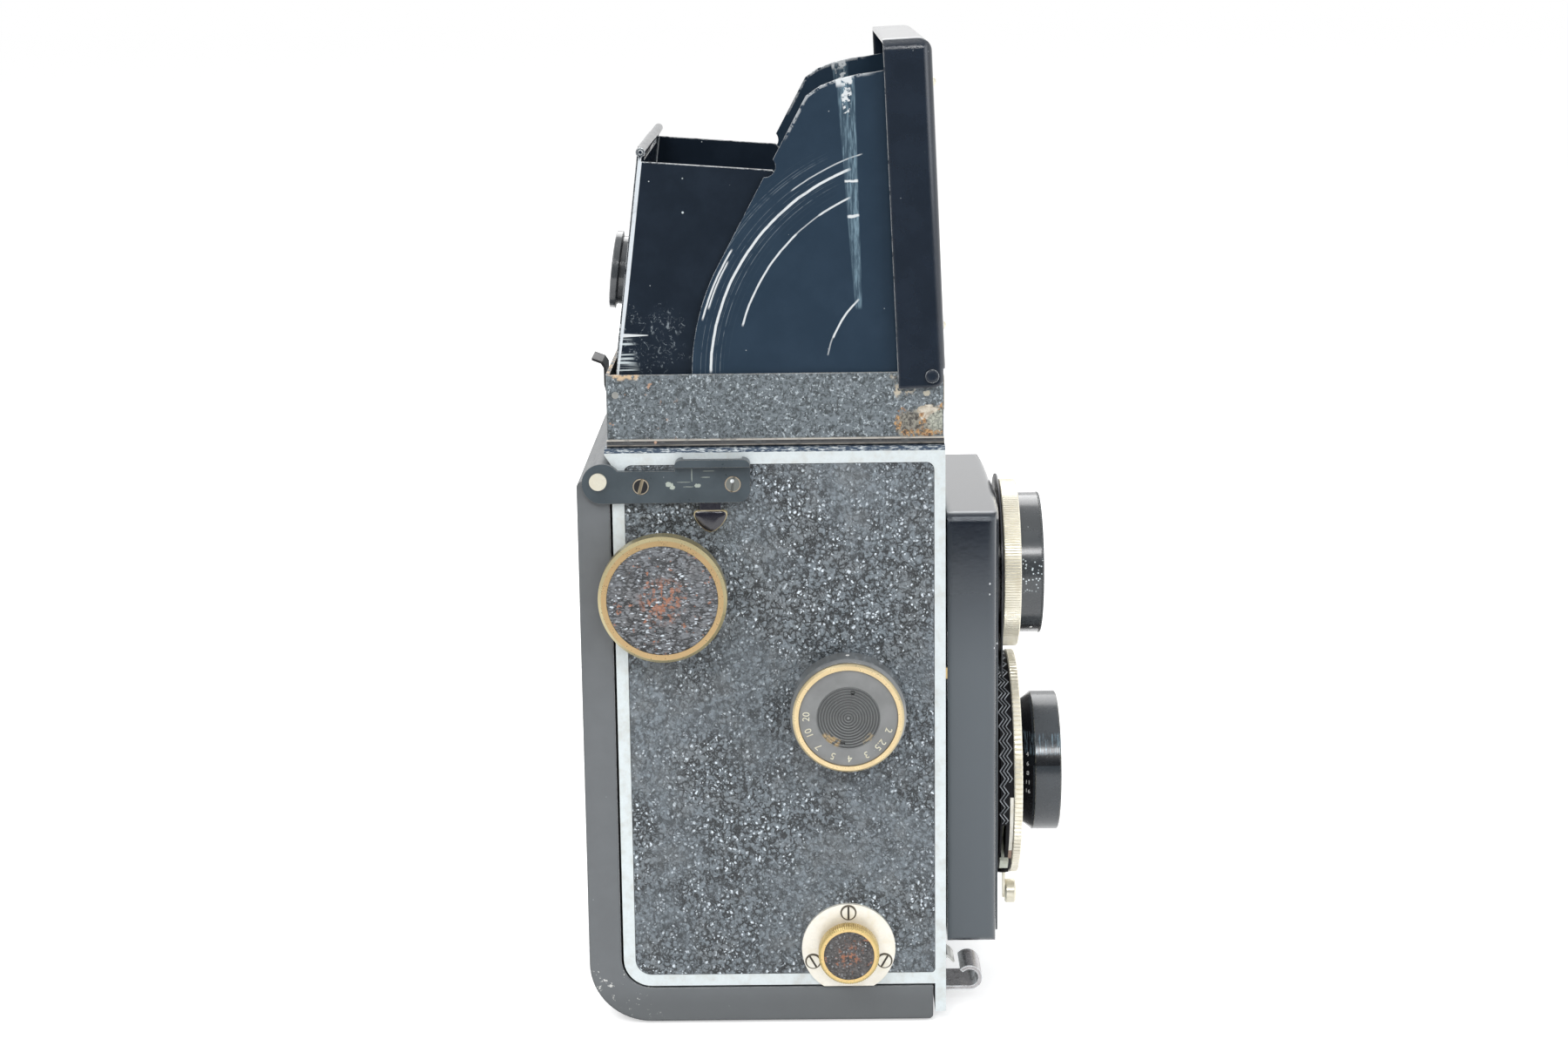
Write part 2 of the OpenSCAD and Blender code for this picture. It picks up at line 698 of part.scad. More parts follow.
module back_cover() {
  color([0.14, 0.15, 0.17]) difference() {
    union() {
      difference() {
        side_sweep(-half_w, half_w) difference() {
          soft_rect(back_x, 0, back_front, back_top, back_r, 0.9, 0, 1.2);
          soft_rect(
            rear_x - flange_gap, frame_z0 - flange_gap, front_x + 5, frame_z1 + 5,
            frame_r + flange_gap, 0, 0, 0
          );
        }
        side_sweep(-half_w + back_t, half_w - back_t) soft_rect(
          back_x + back_t, back_t, back_front - back_t, back_top - back_t, back_r - back_t, 0, 0, 0.4
        );
      }
      y_rod(hinge_x, hinge_z, -half_w + 0.2, half_w - 0.2, hinge_tube_r);
    }
    y_rod(hinge_x, hinge_z, -half_w - 1, half_w + 1, hinge_pin_r + run_fit);
    translate([0, 0, -1]) cylinder(h = back_t + 2, r = socket_r + 1.6);
    translate([-20, 0, -1]) cylinder(h = back_t + 2, r = 3.2);
    translate([back_front - back_t - 1, -latch_y - latch_w / 2 - 0.4, latch_z - 0.3])
      cube([back_t + 2, latch_w + 0.8, 10]);
  }
}

module hinge_rivets() {
  color([0.85, 0.82, 0.7]) both_sides() {
    y_rod(hinge_x, hinge_z, half_w - 6, arm_y1 + 0.1, hinge_pin_r);
    y_rod(hinge_x, hinge_z, arm_y1 + 0.01, arm_y1 + 0.5, 1.65);
  }
}

module pressure_plate() {
  w = spool_len - 1.2;
  color([0.1, 0.1, 0.11]) translate([plate_front - 1, -w / 2, take_z - plate_half])
    cube([1, w, 2 * plate_half]);
}

module pressure_springs() {
  xa = back_x + back_t;
  xb = plate_front - 1;
  color([0.7, 0.6, 0.35]) for (z = [take_z - 15, take_z + 15]) {
    side_sweep(-4, 4) polygon([
      [xa, z - 12], [xa + 0.4, z - 12], [xa + 0.4, z - 9], [xb, z - 2], [xb, z + 2], [xa + 0.4, z + 9],
      [xa + 0.4, z + 12], [xa, z + 12], [xa, z + 8.8], [xb - 0.4, z + 1.8], [xb - 0.4, z - 1.8], [xa, z - 8.8]
    ]);
  }
}

module tripod_bush() {
  color([0.8, 0.7, 0.45]) difference() {
    union() {
      cylinder(h = socket_len, r = socket_r + 1.6);
      translate([0, 0, back_t]) cylinder(h = 1, r = socket_r + 3.6);
    }
    translate([0, 0, -1]) cylinder(h = socket_len + 2, r = socket_r);
  }
}

module ruby_window() {
  color([0.6, 0.05, 0.05]) translate([-20, 0, 0.15]) cylinder(h = back_t - 0.15, r = 3.2);
}

module back_feet() {
  color([0.3, 0.3, 0.3]) for (x = [back_x + 15, front_x - 10], y = [3.5 - half_w, half_w - 3.5]) {
    intersection() {
      translate([x, y, 0.8]) sphere(1.4);
      translate([x - 2, y - 2, -2]) cube([4, 4, 2]);
    }
  }
}

module back_latch() {
  z = latch_z;
  color([0.14, 0.15, 0.17]) side_sweep(-latch_y - latch_w / 2, -latch_y + latch_w / 2) {
    translate([latch_x0, z]) square([curl_x - latch_x0, latch_t]);
    difference() {
      translate([curl_x, z + curl_r]) circle(curl_r);
      translate([curl_x, z + curl_r]) circle(curl_r - latch_t);
      translate([curl_x, z + curl_r]) polygon([[0, 0], [-4, 3.4], [-4, -4], [0, -4]]);
    }
  }
}

module latch_spring() {
  x = front_x;
  z = latch_z + 5.4;
  color([0.5, 0.5, 0.52]) side_sweep(-latch_y - 3, -latch_y + 3) polygon([
    [x, z + 0.3], [x, z + 1.3], [x + 0.7, z + 1.3], [x + 1.5, z + 0.7], [x + 2.1, z - 0.1],
    [x + 1.8, z - 0.3], [x + 1.2, z + 0.4], [x + 0.6, z + 0.8], [x + 0.4, z + 0.3]
  ]);
}

// ---- Lens standard ----

// Points along the standard's bowed front, t ahead of it and out to distance half each way
function bow_line(t, half) = [
  for (k = [-bow_steps : bow_steps]) let (y = half * k / bow_steps)
    [bow_x + sqrt(pow(bow_r + t, 2) - pow(y, 2)), y]
];

// Points round a corner of radius r, from angle a0 on by a quarter turn
function corner_line(x, y, r, a0) = [
  for (k = [0 : corner_steps]) let (a = a0 + 90 * k / corner_steps) [x + r * cos(a), y + r * sin(a)]
];

// The standard's plan: square behind, with rounded corners beside its bowed front
module standard_plan(r) {
  half = std_w / 2;
  corner_x = bow_x + sqrt(pow(bow_r - r, 2) - pow(half - r, 2));
  polygon(concat(
    [[std_x0, half], [std_x0, -half]], corner_line(corner_x, r - half, r, -90),
    bow_line(0, half - r - 0.5), corner_line(corner_x, half - r, r, 0)
  ));
}

// How far ahead a flat seat of radius r lies when it is cut into the bowed front
function seat_x(r) = std_x1 + front_bow - pow(r, 2) / (2 * bow_r);

// The bores and flat seats of the two lens mounts
module lens_bores() {
  x_rod(std_x0, plate_x + 1, take_z, tube_out_r - 1);
  x_rod(std_x0, plate_x + 1, view_z, view_tube_r - 1);
  x_rod(seat_x(take_seat_r), plate_x + 1, take_z, take_seat_r + run_fit);
  x_rod(seat_x(view_seat_r), plate_x + 1, view_z, view_seat_r + run_fit);
}

module lens_standard() {
  color([0.13, 0.14, 0.17]) difference() {
    translate([0, 0, std_z0]) linear_extrude(std_z1 - std_z0) standard_plan(std_front_r);
    front_sweep(std_x0 - 1, plate_x + 1) for (side = [0, 1]) mirror([side, 0]) {
      translate([-std_w / 2, std_z0]) corner_waste(std_side_r);
      translate([-std_w / 2, std_z1]) rotate(270) corner_waste(std_side_r);
    }
    side_sweep(-std_w / 2 - 1, std_w / 2 + 1) {
      translate([std_x1 + front_bow, std_z0]) rotate(90) corner_waste(std_front_r);
      translate([std_x1 + front_bow, std_z1]) rotate(180) corner_waste(std_front_r);
    }
    translate([std_x0 - 1, -std_w / 2 + std_t, std_z0 + std_t])
      cube([std_depth + 1 - std_t, std_w - 2 * std_t, std_z1 - std_z0 - 2 * std_t]);
    lens_bores();
  }
}

module standard_plate() {
  edge = std_side_r;
  half = std_w / 2 - edge;
  inner = bow_line(run_fit, half + 1);
  color([0.13, 0.14, 0.17]) difference() {
    intersection() {
      translate([0, 0, std_z0]) linear_extrude(std_z1 - std_z0)
        polygon(concat(bow_line(plate_t, half + 1), [for (k = [len(inner) - 1 : -1 : 0]) inner[k]]));
      front_sweep(std_x0, plate_x + 1)
        soft_rect(-half, std_z0 + edge, half, std_z1 - edge, 1, 1, 1, 1);
    }
    lens_bores();
  }
}

module light_tubes() {
  color([0.2, 0.2, 0.21]) for (t = [[take_z, tube_out_r], [view_z, view_tube_r]]) {
    difference() {
      x_rod(tube_back_x, std_x1 - std_t, t[0], t[1]);
      x_rod(tube_back_x - 1, std_x1, t[0], t[1] - 1);
    }
  }
}

// A straight rack whose teeth hang below its pitch line, with a gap over the pinion
module rack_outline() {
  half = 0.22 * rack_pitch;
  slope = tan(20);
  add = tooth_h;
  ded = 1.25 * tooth_h;
  first = ceil((rack_x0 - focus_x) / rack_pitch);
  last = floor((rack_x1 - focus_x) / rack_pitch) - 1;
  polygon(concat(
    [[rack_x1, rack_z + ded], [rack_x1, rack_top], [rack_x0, rack_top], [rack_x0, rack_z + ded]],
    [for (k = [first : last]) let (c = focus_x + (k + 0.5) * rack_pitch) each [
      [c - half - ded * slope, rack_z + ded], [c - half + add * slope, rack_z - add],
      [c + half - add * slope, rack_z - add], [c + half + ded * slope, rack_z + ded]
    ]]
  ));
}

module focus_racks() {
  color([0.72, 0.6, 0.35]) both_sides() {
    side_sweep(-rack_y1, -rack_y0) rack_outline();
    side_sweep(-rack_y0 - stem_w, -rack_y0)
      soft_rect(rack_x1 - 1, stem_z, std_x0, rack_top, 0, 0, 0, 0);
  }
}

// ---- Viewing lens ----

// The thin plate behind the viewing lens, on the hub that seats in the standard
module view_flange() {
  r = view_flange_d / 2;
  low = take_z + shutter_d / 2 + pass_gap;
  color([0.1, 0.1, 0.11]) difference() {
    union() {
      x_rod(seat_x(view_seat_r), view_ring_x, view_z, view_seat_r);
      front_sweep(view_plate_x, view_plate_x + view_flange_t) {
        translate([0, view_z]) circle(r);
        soft_rect(0.6 - r, low, r - 0.6, view_z, 0.8, 0.8, 0, 0);
      }
    }
    x_rod(plate_x - 5, view_ring_x + 1, view_z, 12.9);
  }
}

module view_ring() {
  color([0.9, 0.86, 0.72]) x_turn(view_ring_x, view_z)
    ring_profile(12.9, view_ring_d / 2, 0, view_ring_w, 0.25);
}

module view_barrel() {
  r = hood_d / 2;
  bore = view_glass_d / 2 + 0.7;
  color([0.1, 0.1, 0.11]) x_turn(view_barrel_x, view_z) polygon([
    [bore, 0], [r, 0], [r, view_barrel_len - 0.2], [r - 0.2, view_barrel_len],
    [r - 0.9, view_barrel_len], [bore, view_barrel_len - 1.8]
  ]);
}

// A glass with both faces bulging, its middle at the origin and its axis along X
module bulged_glass(r, t) {
  edge_t = 1.2;
  rise = (t - edge_t) / 2;
  steps = 5;
  color([0.7, 0.8, 0.85, 0.5]) rotate([0, 90, 0]) rotate_extrude() polygon(concat(
    [for (k = [0 : steps]) [r * k / steps, edge_t / 2 + rise * (1 - pow(k / steps, 2))]],
    [for (k = [steps : -1 : 0]) [r * k / steps, -edge_t / 2 - rise * (1 - pow(k / steps, 2))]]
  ));
}

module view_glass() {
  translate([view_barrel_x + view_barrel_len - 3.6, 0, view_z])
    bulged_glass(view_glass_d / 2 + 0.68, glass_t);
}

// ---- Taking lens and shutter ----

// A wedge about the taking axis from angle a0 to a1, measured from straight down
module wedge(a0, a1, r) {
  polygon(concat([[0, 0]], [for (a = [a0 : (a1 - a0) / 4 : a1]) [r * sin(a), -r * cos(a)]]));
}

// A radial rod in the shutter housing's rim where the cable release screws in
module cable_socket(r, over) {
  translate([(plate_x + shut_x) / 2, 0, take_z]) rotate([-27, 0, 0])
    translate([0, 0, -shutter_d / 2 - 0.6 - over]) cylinder(h = 2.4 + over, r = r);
}

module shutter_housing() {
  r = shutter_d / 2;
  color([0.12, 0.12, 0.13]) difference() {
    union() {
      x_rod(plate_x, shut_x, take_z, r);
      x_rod(seat_x(take_seat_r), plate_x + eps, take_z, take_seat_r);
      cable_socket(socket_bore_r + 0.35, 0);
    }
    x_rod(plate_x - 2, shut_x + 1, take_z, 10.6);
    x_rod(plate_x + 0.4, shut_x + 1, take_z, 13.2);
    difference() {
      union() {
        x_rod(shut_x - lever_slot, shut_x + 1, take_z, release_ring_r + 1.8 + run_fit);
        front_sweep(shut_x - lever_slot, shut_x + 1) translate([0, take_z]) wedge(-15, 42, 40);
      }
      x_rod(shut_x - 2, shut_x + 2, take_z, release_ring_r - run_fit);
    }
    difference() {
      union() {
        x_rod(stop_x - run_fit, stop_x + stop_lever_t + run_fit, take_z, stop_ring_r + 1.5 + run_fit);
        front_sweep(stop_x - run_fit, stop_x + stop_lever_t + run_fit)
          translate([0, take_z]) wedge(-72, -31, 40);
      }
      x_rod(plate_x - 1, plate_x + 3, take_z, stop_ring_r - run_fit);
    }
    cable_socket(socket_bore_r, 1);
  }
}

module shutter_face() {
  r = shutter_ring_d / 2 - 1.5;
  color([0.12, 0.12, 0.13]) x_turn(shut_x, take_z)
    ring_profile(10.6, r, 0, shutter_ring_w + 0.1, 0.2);
}

module shutter_ring() {
  r = shutter_ring_d / 2;
  color([0.88, 0.85, 0.74]) x_turn(shut_x + 0.05, take_z)
    ring_profile(r - 1.5 + run_fit, r, 0, shutter_ring_w, 0.2);
}

module shutter_blades() {
  color([0.3, 0.3, 0.32]) for (i = [0 : 4]) {
    translate([plate_x + 0.55 + 0.3 * i, 0, take_z]) rotate([72 * i, 0, 0]) intersection() {
      rotate([0, 90, 0]) cylinder(h = 0.2, r = 13);
      translate([-1, -15, 4]) cube([3, 30, 12]);
    }
  }
}

module aperture_lever() {
  color([0.8, 0.78, 0.7]) translate([stop_x, 0, take_z]) rotate([-47, 0, 0]) {
    rotate([0, 90, 0]) difference() {
      cylinder(h = stop_lever_t, r = stop_ring_r + 1.5);
      translate([0, 0, -1]) cylinder(h = stop_lever_t + 2, r = stop_ring_r);
    }
    translate([0, -1.3, -stop_tab_r]) cube([stop_lever_t, 2.6, stop_tab_r - stop_ring_r - 1]);
    translate([-0.35, -1.6, -stop_tab_r]) cube([1.7, 3.2, 0.7]);
  }
}

module shutter_lever() {
  r = lever_reach;
  ring_r = release_ring_r + 1.8;
  color([0.8, 0.78, 0.7]) {
    front_sweep(shut_x - lever_slot + 0.1, shut_x - 0.1) translate([0, take_z]) difference() {
      union() {
        circle(ring_r);
        soft_rect(-1.5, -r - 1.4, 1.5, -ring_r + 0.4, 1.4, 1.4, 0, 0);
      }
      circle(release_ring_r);
    }
    x_turn(shut_x - 0.1 - eps, take_z - r) ring_profile(0, 2.5, 0, 2.2, 0.3);
  }
}

module take_barrel() {
  r = hood_d / 2;
  bore = take_glass_d / 2 + 0.4;
  len = take_cone_len + take_hood_len;
  color([0.09, 0.09, 0.1]) x_turn(take_x, take_z) polygon([
    [bore, 0], [12.3, 0], [12.3, 0.8], [r - 0.2, take_cone_len - 0.1], [r, take_cone_len],
    [r, len - 0.2], [r - 0.2, len], [r - 1, len], [r - 1.5, take_cone_len + 2],
    [bore + 0.6, take_cone_len + 0.8], [bore, take_cone_len + 0.7]
  ]);
}

module take_glass() {
  translate([take_x + take_cone_len - 0.35, 0, take_z]) bulged_glass(take_glass_d / 2 + 0.38, glass_t);
}

// ---- Knobs ----

module wind_knob() {
  r = wind_d / 2;
  top = half_w + wind_h;
  color([0.72, 0.58, 0.32]) y_turn(wind_x, wind_z) polygon([
    [wind_shaft_r, leather_face + 0.2], [8.5, leather_face + 0.2], [8.5, top - 4.8], [r - 0.8, top - 4.8],
    [r, top - 4], [r, top - 0.7], [r - 0.6, top], [r - 1.65, top], [r - 1.65, top - disc_t - 0.1],
    [wind_shaft_r, top - disc_t - 0.1]
  ]);
}

module wind_leather() {
  top = half_w + wind_h;
  color([0.14, 0.13, 0.13])
    y_rod(wind_x, wind_z, top - disc_t - 0.1, top - 0.1, wind_d / 2 - 1.7);
}

module wind_shaft() {
  color([0.7, 0.7, 0.72])
    y_rod(wind_x, wind_z, spool_len / 2 - 5, half_w + wind_h - disc_t - 0.1, wind_shaft_r);
}

module take_up_spool() {
  h = spool_len / 2;
  color([0.15, 0.12, 0.1]) difference() {
    union() {
      y_rod(wind_x, wind_z, -h, h, spool_core_d / 2);
      y_rod(wind_x, wind_z, h - 0.8, h, spool_d / 2);
      y_rod(wind_x, wind_z, -h, -h + 0.8, spool_d / 2);
    }
    y_rod(wind_x, wind_z, h - 8, h + 1, spool_bore_r);
    y_rod(wind_x, wind_z, -h - 1, -h + 8, spool_bore_r);
  }
}

module focus_knob() {
  r = focus_d / 2;
  top = half_w + focus_h;
  color([0.1, 0.1, 0.11]) y_turn(focus_x, focus_z) polygon([
    [shaft_r, leather_face + 0.2], [r - 0.4, leather_face + 0.2], [r, leather_face + 0.6], [r, top - 2.2],
    [r - 0.5, top - 1.5], [shaft_r, top - 1.5]
  ]);
}

module focus_rim() {
  r = focus_d / 2 - 0.5;
  color([0.72, 0.58, 0.32]) y_turn(focus_x, focus_z)
    ring_profile(r - 1.15, r, half_w + focus_h - 1.5, half_w + focus_h, 0.35);
}

module focus_disc() {
  r = focus_d / 2 - 1.7;
  h = half_w + focus_h - 1.5;
  color([0.28, 0.29, 0.3]) difference() {
    y_turn(focus_x, focus_z) polygon(concat(
      [[0, h], [r, h], [r, h + 1.1]],
      [for (k = [11 : -1 : 1])
        each [[k * 0.53 + 0.2, h + 1.1], [k * 0.53 + 0.1, h + 0.9], [k * 0.53, h + 1.1]]],
      [[0, h + 1.1]]
    ));
    for (a = [80, 257]) {
      y_rod(focus_x + 5 * cos(a), focus_z + 5 * sin(a), h + 0.5, h + 2, 0.45);
    }
  }
}

// The cross shaft with a pinion near each end
module focus_shaft() {
  half = 0.22 * rack_pitch / pinion_r * 180 / PI;
  add = tooth_h;
  ded = 1.25 * tooth_h;
  step = 360 / pinion_teeth;
  tip = half * 0.5;
  root = half * 1.7;
  function at(a, r) = [r * cos(a), r * sin(a)];
  color([0.72, 0.72, 0.74]) {
    y_rod(focus_x, focus_z, -inner_w - 0.8, half_w + focus_h - 1.5, shaft_r);
    both_sides() side_sweep(-rack_y1 + 0.1, -rack_y0 - 0.1) translate([focus_x, focus_z])
      polygon([for (k = [0 : pinion_teeth - 1]) let (a = 90 + k * step) each [
        at(a - root, pinion_r - ded), at(a - half, pinion_r), at(a - tip, pinion_r + add),
        at(a + tip, pinion_r + add), at(a + half, pinion_r), at(a + root, pinion_r - ded)
      ]]);
  }
}

// A pull knob with the pin that holds a spool, from height h above the middle
module pull_profile(h) {
  r = pull_d / 2;
  top = h + 3.8;
  polygon([
    [0, spool_len / 2 - 3], [pull_pin_r - 0.4, spool_len / 2 - 3], [pull_pin_r, spool_len / 2 - 2.5],
    [pull_pin_r, h], [3.6, h], [3.6, h + 0.9], [r - 0.3, h + 0.9], [r, h + 1.2], [r, top - 0.3],
    [r - 0.3, top], [r - 1, top], [r - 1, top - disc_t], [0, top - disc_t]
  ]);
}

module feed_knob() {
  color([0.72, 0.58, 0.32]) y_turn(feed_x, feed_z) pull_profile(leather_face + 0.9);
}

module feed_leather() {
  top = leather_face + 0.9 + 3.8;
  color([0.2, 0.1, 0.08]) y_rod(feed_x, feed_z, top - disc_t, top - 0.05, pull_d / 2 - 1.05);
}

module take_up_pull_knob() {
  color([0.72, 0.58, 0.32]) mirror([0, 1, 0]) y_turn(wind_x, wind_z) pull_profile(leather_face + 0.1);
}

// ---- Hood, drawn with the lid and the rear wall open ----

// Places what is drawn upright about the lid's pivot at its open angle
module on_lid() {
  translate([lid_px, 0, lid_pz]) rotate([0, -lid_lean, 0]) children();
}

module on_rear_wall() {
  translate([rear_px, 0, rear_pz]) rotate([0, rear_wall_lean, 0]) children();
}

module lid() {
  x1 = lid_rise;
  x0 = lid_rise - lid_depth;
  foot = 2.2;
  color([0.09, 0.1, 0.12]) on_lid() difference() {
    intersection() {
      side_sweep(-lid_half, lid_half) soft_rect(x0, -foot, x1, lid_len, 0.4, 2.6, lid_r, 0.3);
      translate([0, 0, -foot - 1]) linear_extrude(lid_len + foot + 2)
        soft_rect(x0, -lid_half, x1, lid_half, 0, 2, 2, 0);
      front_sweep(x0 - 1, x1 + 1) soft_rect(-lid_half, -foot, lid_half, lid_len, 0.1, 0.1, 2.2, 2.2);
    }
    intersection() {
      side_sweep(-lid_half + lid_t, lid_half - lid_t)
        soft_rect(x0 - 1, -foot - 1, x1 - lid_t, lid_len - lid_t, 0, 0, lid_r - lid_t, 0);
      translate([0, 0, -foot - 2]) linear_extrude(lid_len + foot + 4)
        soft_rect(x0 - 2, -lid_half + lid_t, x1 - lid_t, lid_half - lid_t, 0, 1.2, 1.2, 0);
    }
    side_sweep(-lid_half + lid_t, lid_half - lid_t) soft_rect(0, -foot - 1, x1 + 1, 1.1, 0, 0, 0, 0);
    y_rod(0, 0, -lid_half - 1, lid_half + 1, lid_pin_r + run_fit);
  }
}

// The outline of a lid wing about the lid's pivot
module wing_outline() {
  inner_face = lid_rise - lid_t;
  shoulder = [-21, 53.3];
  top = [-8, 57];
  start = 152;
  knee = wing_r * [cos(start), sin(start)];
  difference() {
    union() {
      polygon([
        [0.9, 0.3], [inner_face, 1.4], [inner_face, 58.4], top, [-11, 56.8], [-15, 56.1],
        [-18.3, 55], shoulder, knee, [0, 0.3]
      ]);
      intersection() {
        circle(wing_r);
        translate([-60, 0.3]) square([60, 25]);
        polygon([[0, 0.3], [-60, 0.3], [-60, 31.9], knee, [0, 22]]);
      }
    }
    translate([-29.3, 40.7]) circle(2);
  }
}

module lid_wings() {
  inner_face = lid_rise - lid_t;
  color([0.09, 0.1, 0.12]) on_lid() both_sides() {
    side_sweep(-wing_y1, -wing_y0) wing_outline();
    translate([inner_face - sheet_t, -wing_y0, 5]) cube([sheet_t, 4, 52]);
  }
}

module lid_rivets() {
  color([0.8, 0.78, 0.72]) on_lid() both_sides() for (z = [8.7, 54.5]) {
    translate([lid_rise - 0.3, -29.5, z]) intersection() {
      sphere(1);
      translate([0.3, -2, -2]) cube([2, 4, 4]);
    }
  }
}

// The outline of a rear wall wing about the rear wall's hinge
module rear_wing_outline() {
  l = rear_wall_len;
  difference() {
    polygon([
      [-0.3, -0.9], [-0.3, l - 1.7], [24.8, l - 0.5], [25.8, l - 1.3], [25.5, l - 5.8], [24.3, 4], [21.5, 0.8]
    ]);
    circle(pin_r + run_fit);
  }
}

// The wall with its wings, its hinge curl and the wire pin that carries the magnifier
module rear_wall() {
  l = rear_wall_len;
  color([0.09, 0.1, 0.12]) on_rear_wall() {
    difference() {
      union() {
        translate([-0.3, -rear_wing_y0, 0]) cube([sheet_t, 2 * rear_wing_y0, l - 2.2]);
        y_rod(0, 0, -rear_wing_y0, rear_wing_y0, curl_out);
        both_sides() {
          y_rod(0, l, mag_half + 2, rear_wing_y1, curl_out + 0.1);
          translate([-0.3, -rear_wing_y1, l - 3]) cube([sheet_t, rear_wing_y1 - mag_half - 2, 3]);
        }
      }
      y_rod(0, 0, -rear_wing_y1 - 1, rear_wing_y1 + 1, pin_r + run_fit);
    }
    y_rod(0, l, -rear_wing_y1 - 0.1, rear_wing_y1 + 0.1, pin_r);
    both_sides() side_sweep(-rear_wing_y1, -rear_wing_y0) rear_wing_outline();
  }
}

module magnifier_arm() {
  l = rear_wall_len;
  knuckle = mag_half + 2 - pass_gap;
  color([0.11, 0.11, 0.12]) on_rear_wall() difference() {
    union() {
      y_rod(0, l, -knuckle, knuckle, curl_out + 0.1);
      translate([-1.25, -mag_half, mag_foot]) cube([sheet_t, 2 * mag_half, l - mag_foot]);
      translate([-1.25, -mag_half, l - 0.9]) cube([1.25, 2 * mag_half, 0.9]);
    }
    y_rod(0, l, -knuckle - 1, knuckle + 1, pin_r + run_fit);
    translate([-3, 0, l - mag_reach]) rotate([0, 90, 0]) cylinder(h = 5, r = mag_d / 2 - mag_wall);
  }
}

module magnifier_ring() {
  r = mag_d / 2;
  bore = r - mag_wall;
  color([0.08, 0.08, 0.09]) on_rear_wall() translate([-1.25, 0, rear_wall_len - mag_reach])
    rotate([0, -90, 0]) rotate_extrude() polygon([
      [bore, 0], [r - 0.9, 0], [r - 0.9, mag_out - 1], [r, mag_out - 0.8], [r, mag_out + 0.4],
      [r - 0.4, mag_out + 0.6], [bore, mag_out + 0.6]
    ]);
}

module magnifier_lens() {
  on_rear_wall() translate([-2.6, 0, rear_wall_len - mag_reach])
    bulged_glass(mag_d / 2 - mag_wall - 0.02, 2.2);
}

body_casting();
leather_right();
leather_left();
light_box();
reflex_mirror();
focusing_screen();
film_rollers();
hinge_arms();
shield_tabs();
arm_screws();
feed_flange();
flange_screws();
name_plate();
hood_base();
hood_rivets();
lid_pivots();
hood_catch();
back_cover();
hinge_rivets();
pressure_plate();
pressure_springs();
tripod_bush();
ruby_window();
back_feet();
back_latch();
latch_spring();
lens_standard();
standard_plate();
light_tubes();
focus_racks();
view_flange();
view_ring();
view_barrel();
view_glass();
shutter_housing();
shutter_face();
shutter_ring();
shutter_blades();
aperture_lever();
shutter_lever();
take_barrel();
take_glass();
wind_knob();
wind_leather();
wind_shaft();
take_up_spool();
focus_knob();
focus_rim();
focus_disc();
focus_shaft();
feed_knob();
feed_leather();
take_up_pull_knob();
lid();
lid_wings();
lid_rivets();
rear_wall();
magnifier_arm();
magnifier_ring();
magnifier_lens();
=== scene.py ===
"""The looks of a twin lens reflex camera: shades, finished pieces, studio light and camera.

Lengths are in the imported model's millimetres, apart from the stage, lights and camera, which are in metres.
"""
import json
import math

import bmesh
import bpy
from mathutils import Matrix, Vector


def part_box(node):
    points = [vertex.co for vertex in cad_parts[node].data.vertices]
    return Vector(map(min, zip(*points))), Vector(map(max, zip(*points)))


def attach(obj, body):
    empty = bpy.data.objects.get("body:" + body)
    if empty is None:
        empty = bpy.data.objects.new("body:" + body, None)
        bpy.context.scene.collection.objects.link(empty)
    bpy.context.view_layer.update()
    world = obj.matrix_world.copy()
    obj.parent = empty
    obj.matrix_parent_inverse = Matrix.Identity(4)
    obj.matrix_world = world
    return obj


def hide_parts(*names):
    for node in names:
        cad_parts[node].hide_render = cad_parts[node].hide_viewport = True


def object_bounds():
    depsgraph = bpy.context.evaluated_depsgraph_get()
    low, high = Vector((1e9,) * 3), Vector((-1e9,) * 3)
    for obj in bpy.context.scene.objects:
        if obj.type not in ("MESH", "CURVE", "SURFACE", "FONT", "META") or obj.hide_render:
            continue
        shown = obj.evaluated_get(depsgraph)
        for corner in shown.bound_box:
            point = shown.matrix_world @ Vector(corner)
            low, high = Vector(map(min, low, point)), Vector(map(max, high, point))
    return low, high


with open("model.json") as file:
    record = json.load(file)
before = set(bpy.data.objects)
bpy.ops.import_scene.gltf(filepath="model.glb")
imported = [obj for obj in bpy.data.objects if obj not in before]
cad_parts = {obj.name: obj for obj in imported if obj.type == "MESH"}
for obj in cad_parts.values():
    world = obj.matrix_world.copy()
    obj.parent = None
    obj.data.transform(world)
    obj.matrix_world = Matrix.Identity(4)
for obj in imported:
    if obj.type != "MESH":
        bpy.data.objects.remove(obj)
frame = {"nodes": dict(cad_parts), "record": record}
nodes = frame["nodes"]
cad_box = [list(v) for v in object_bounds()]
scene = bpy.context.scene
scene.view_settings.view_transform = "Standard"
MM = 0.001


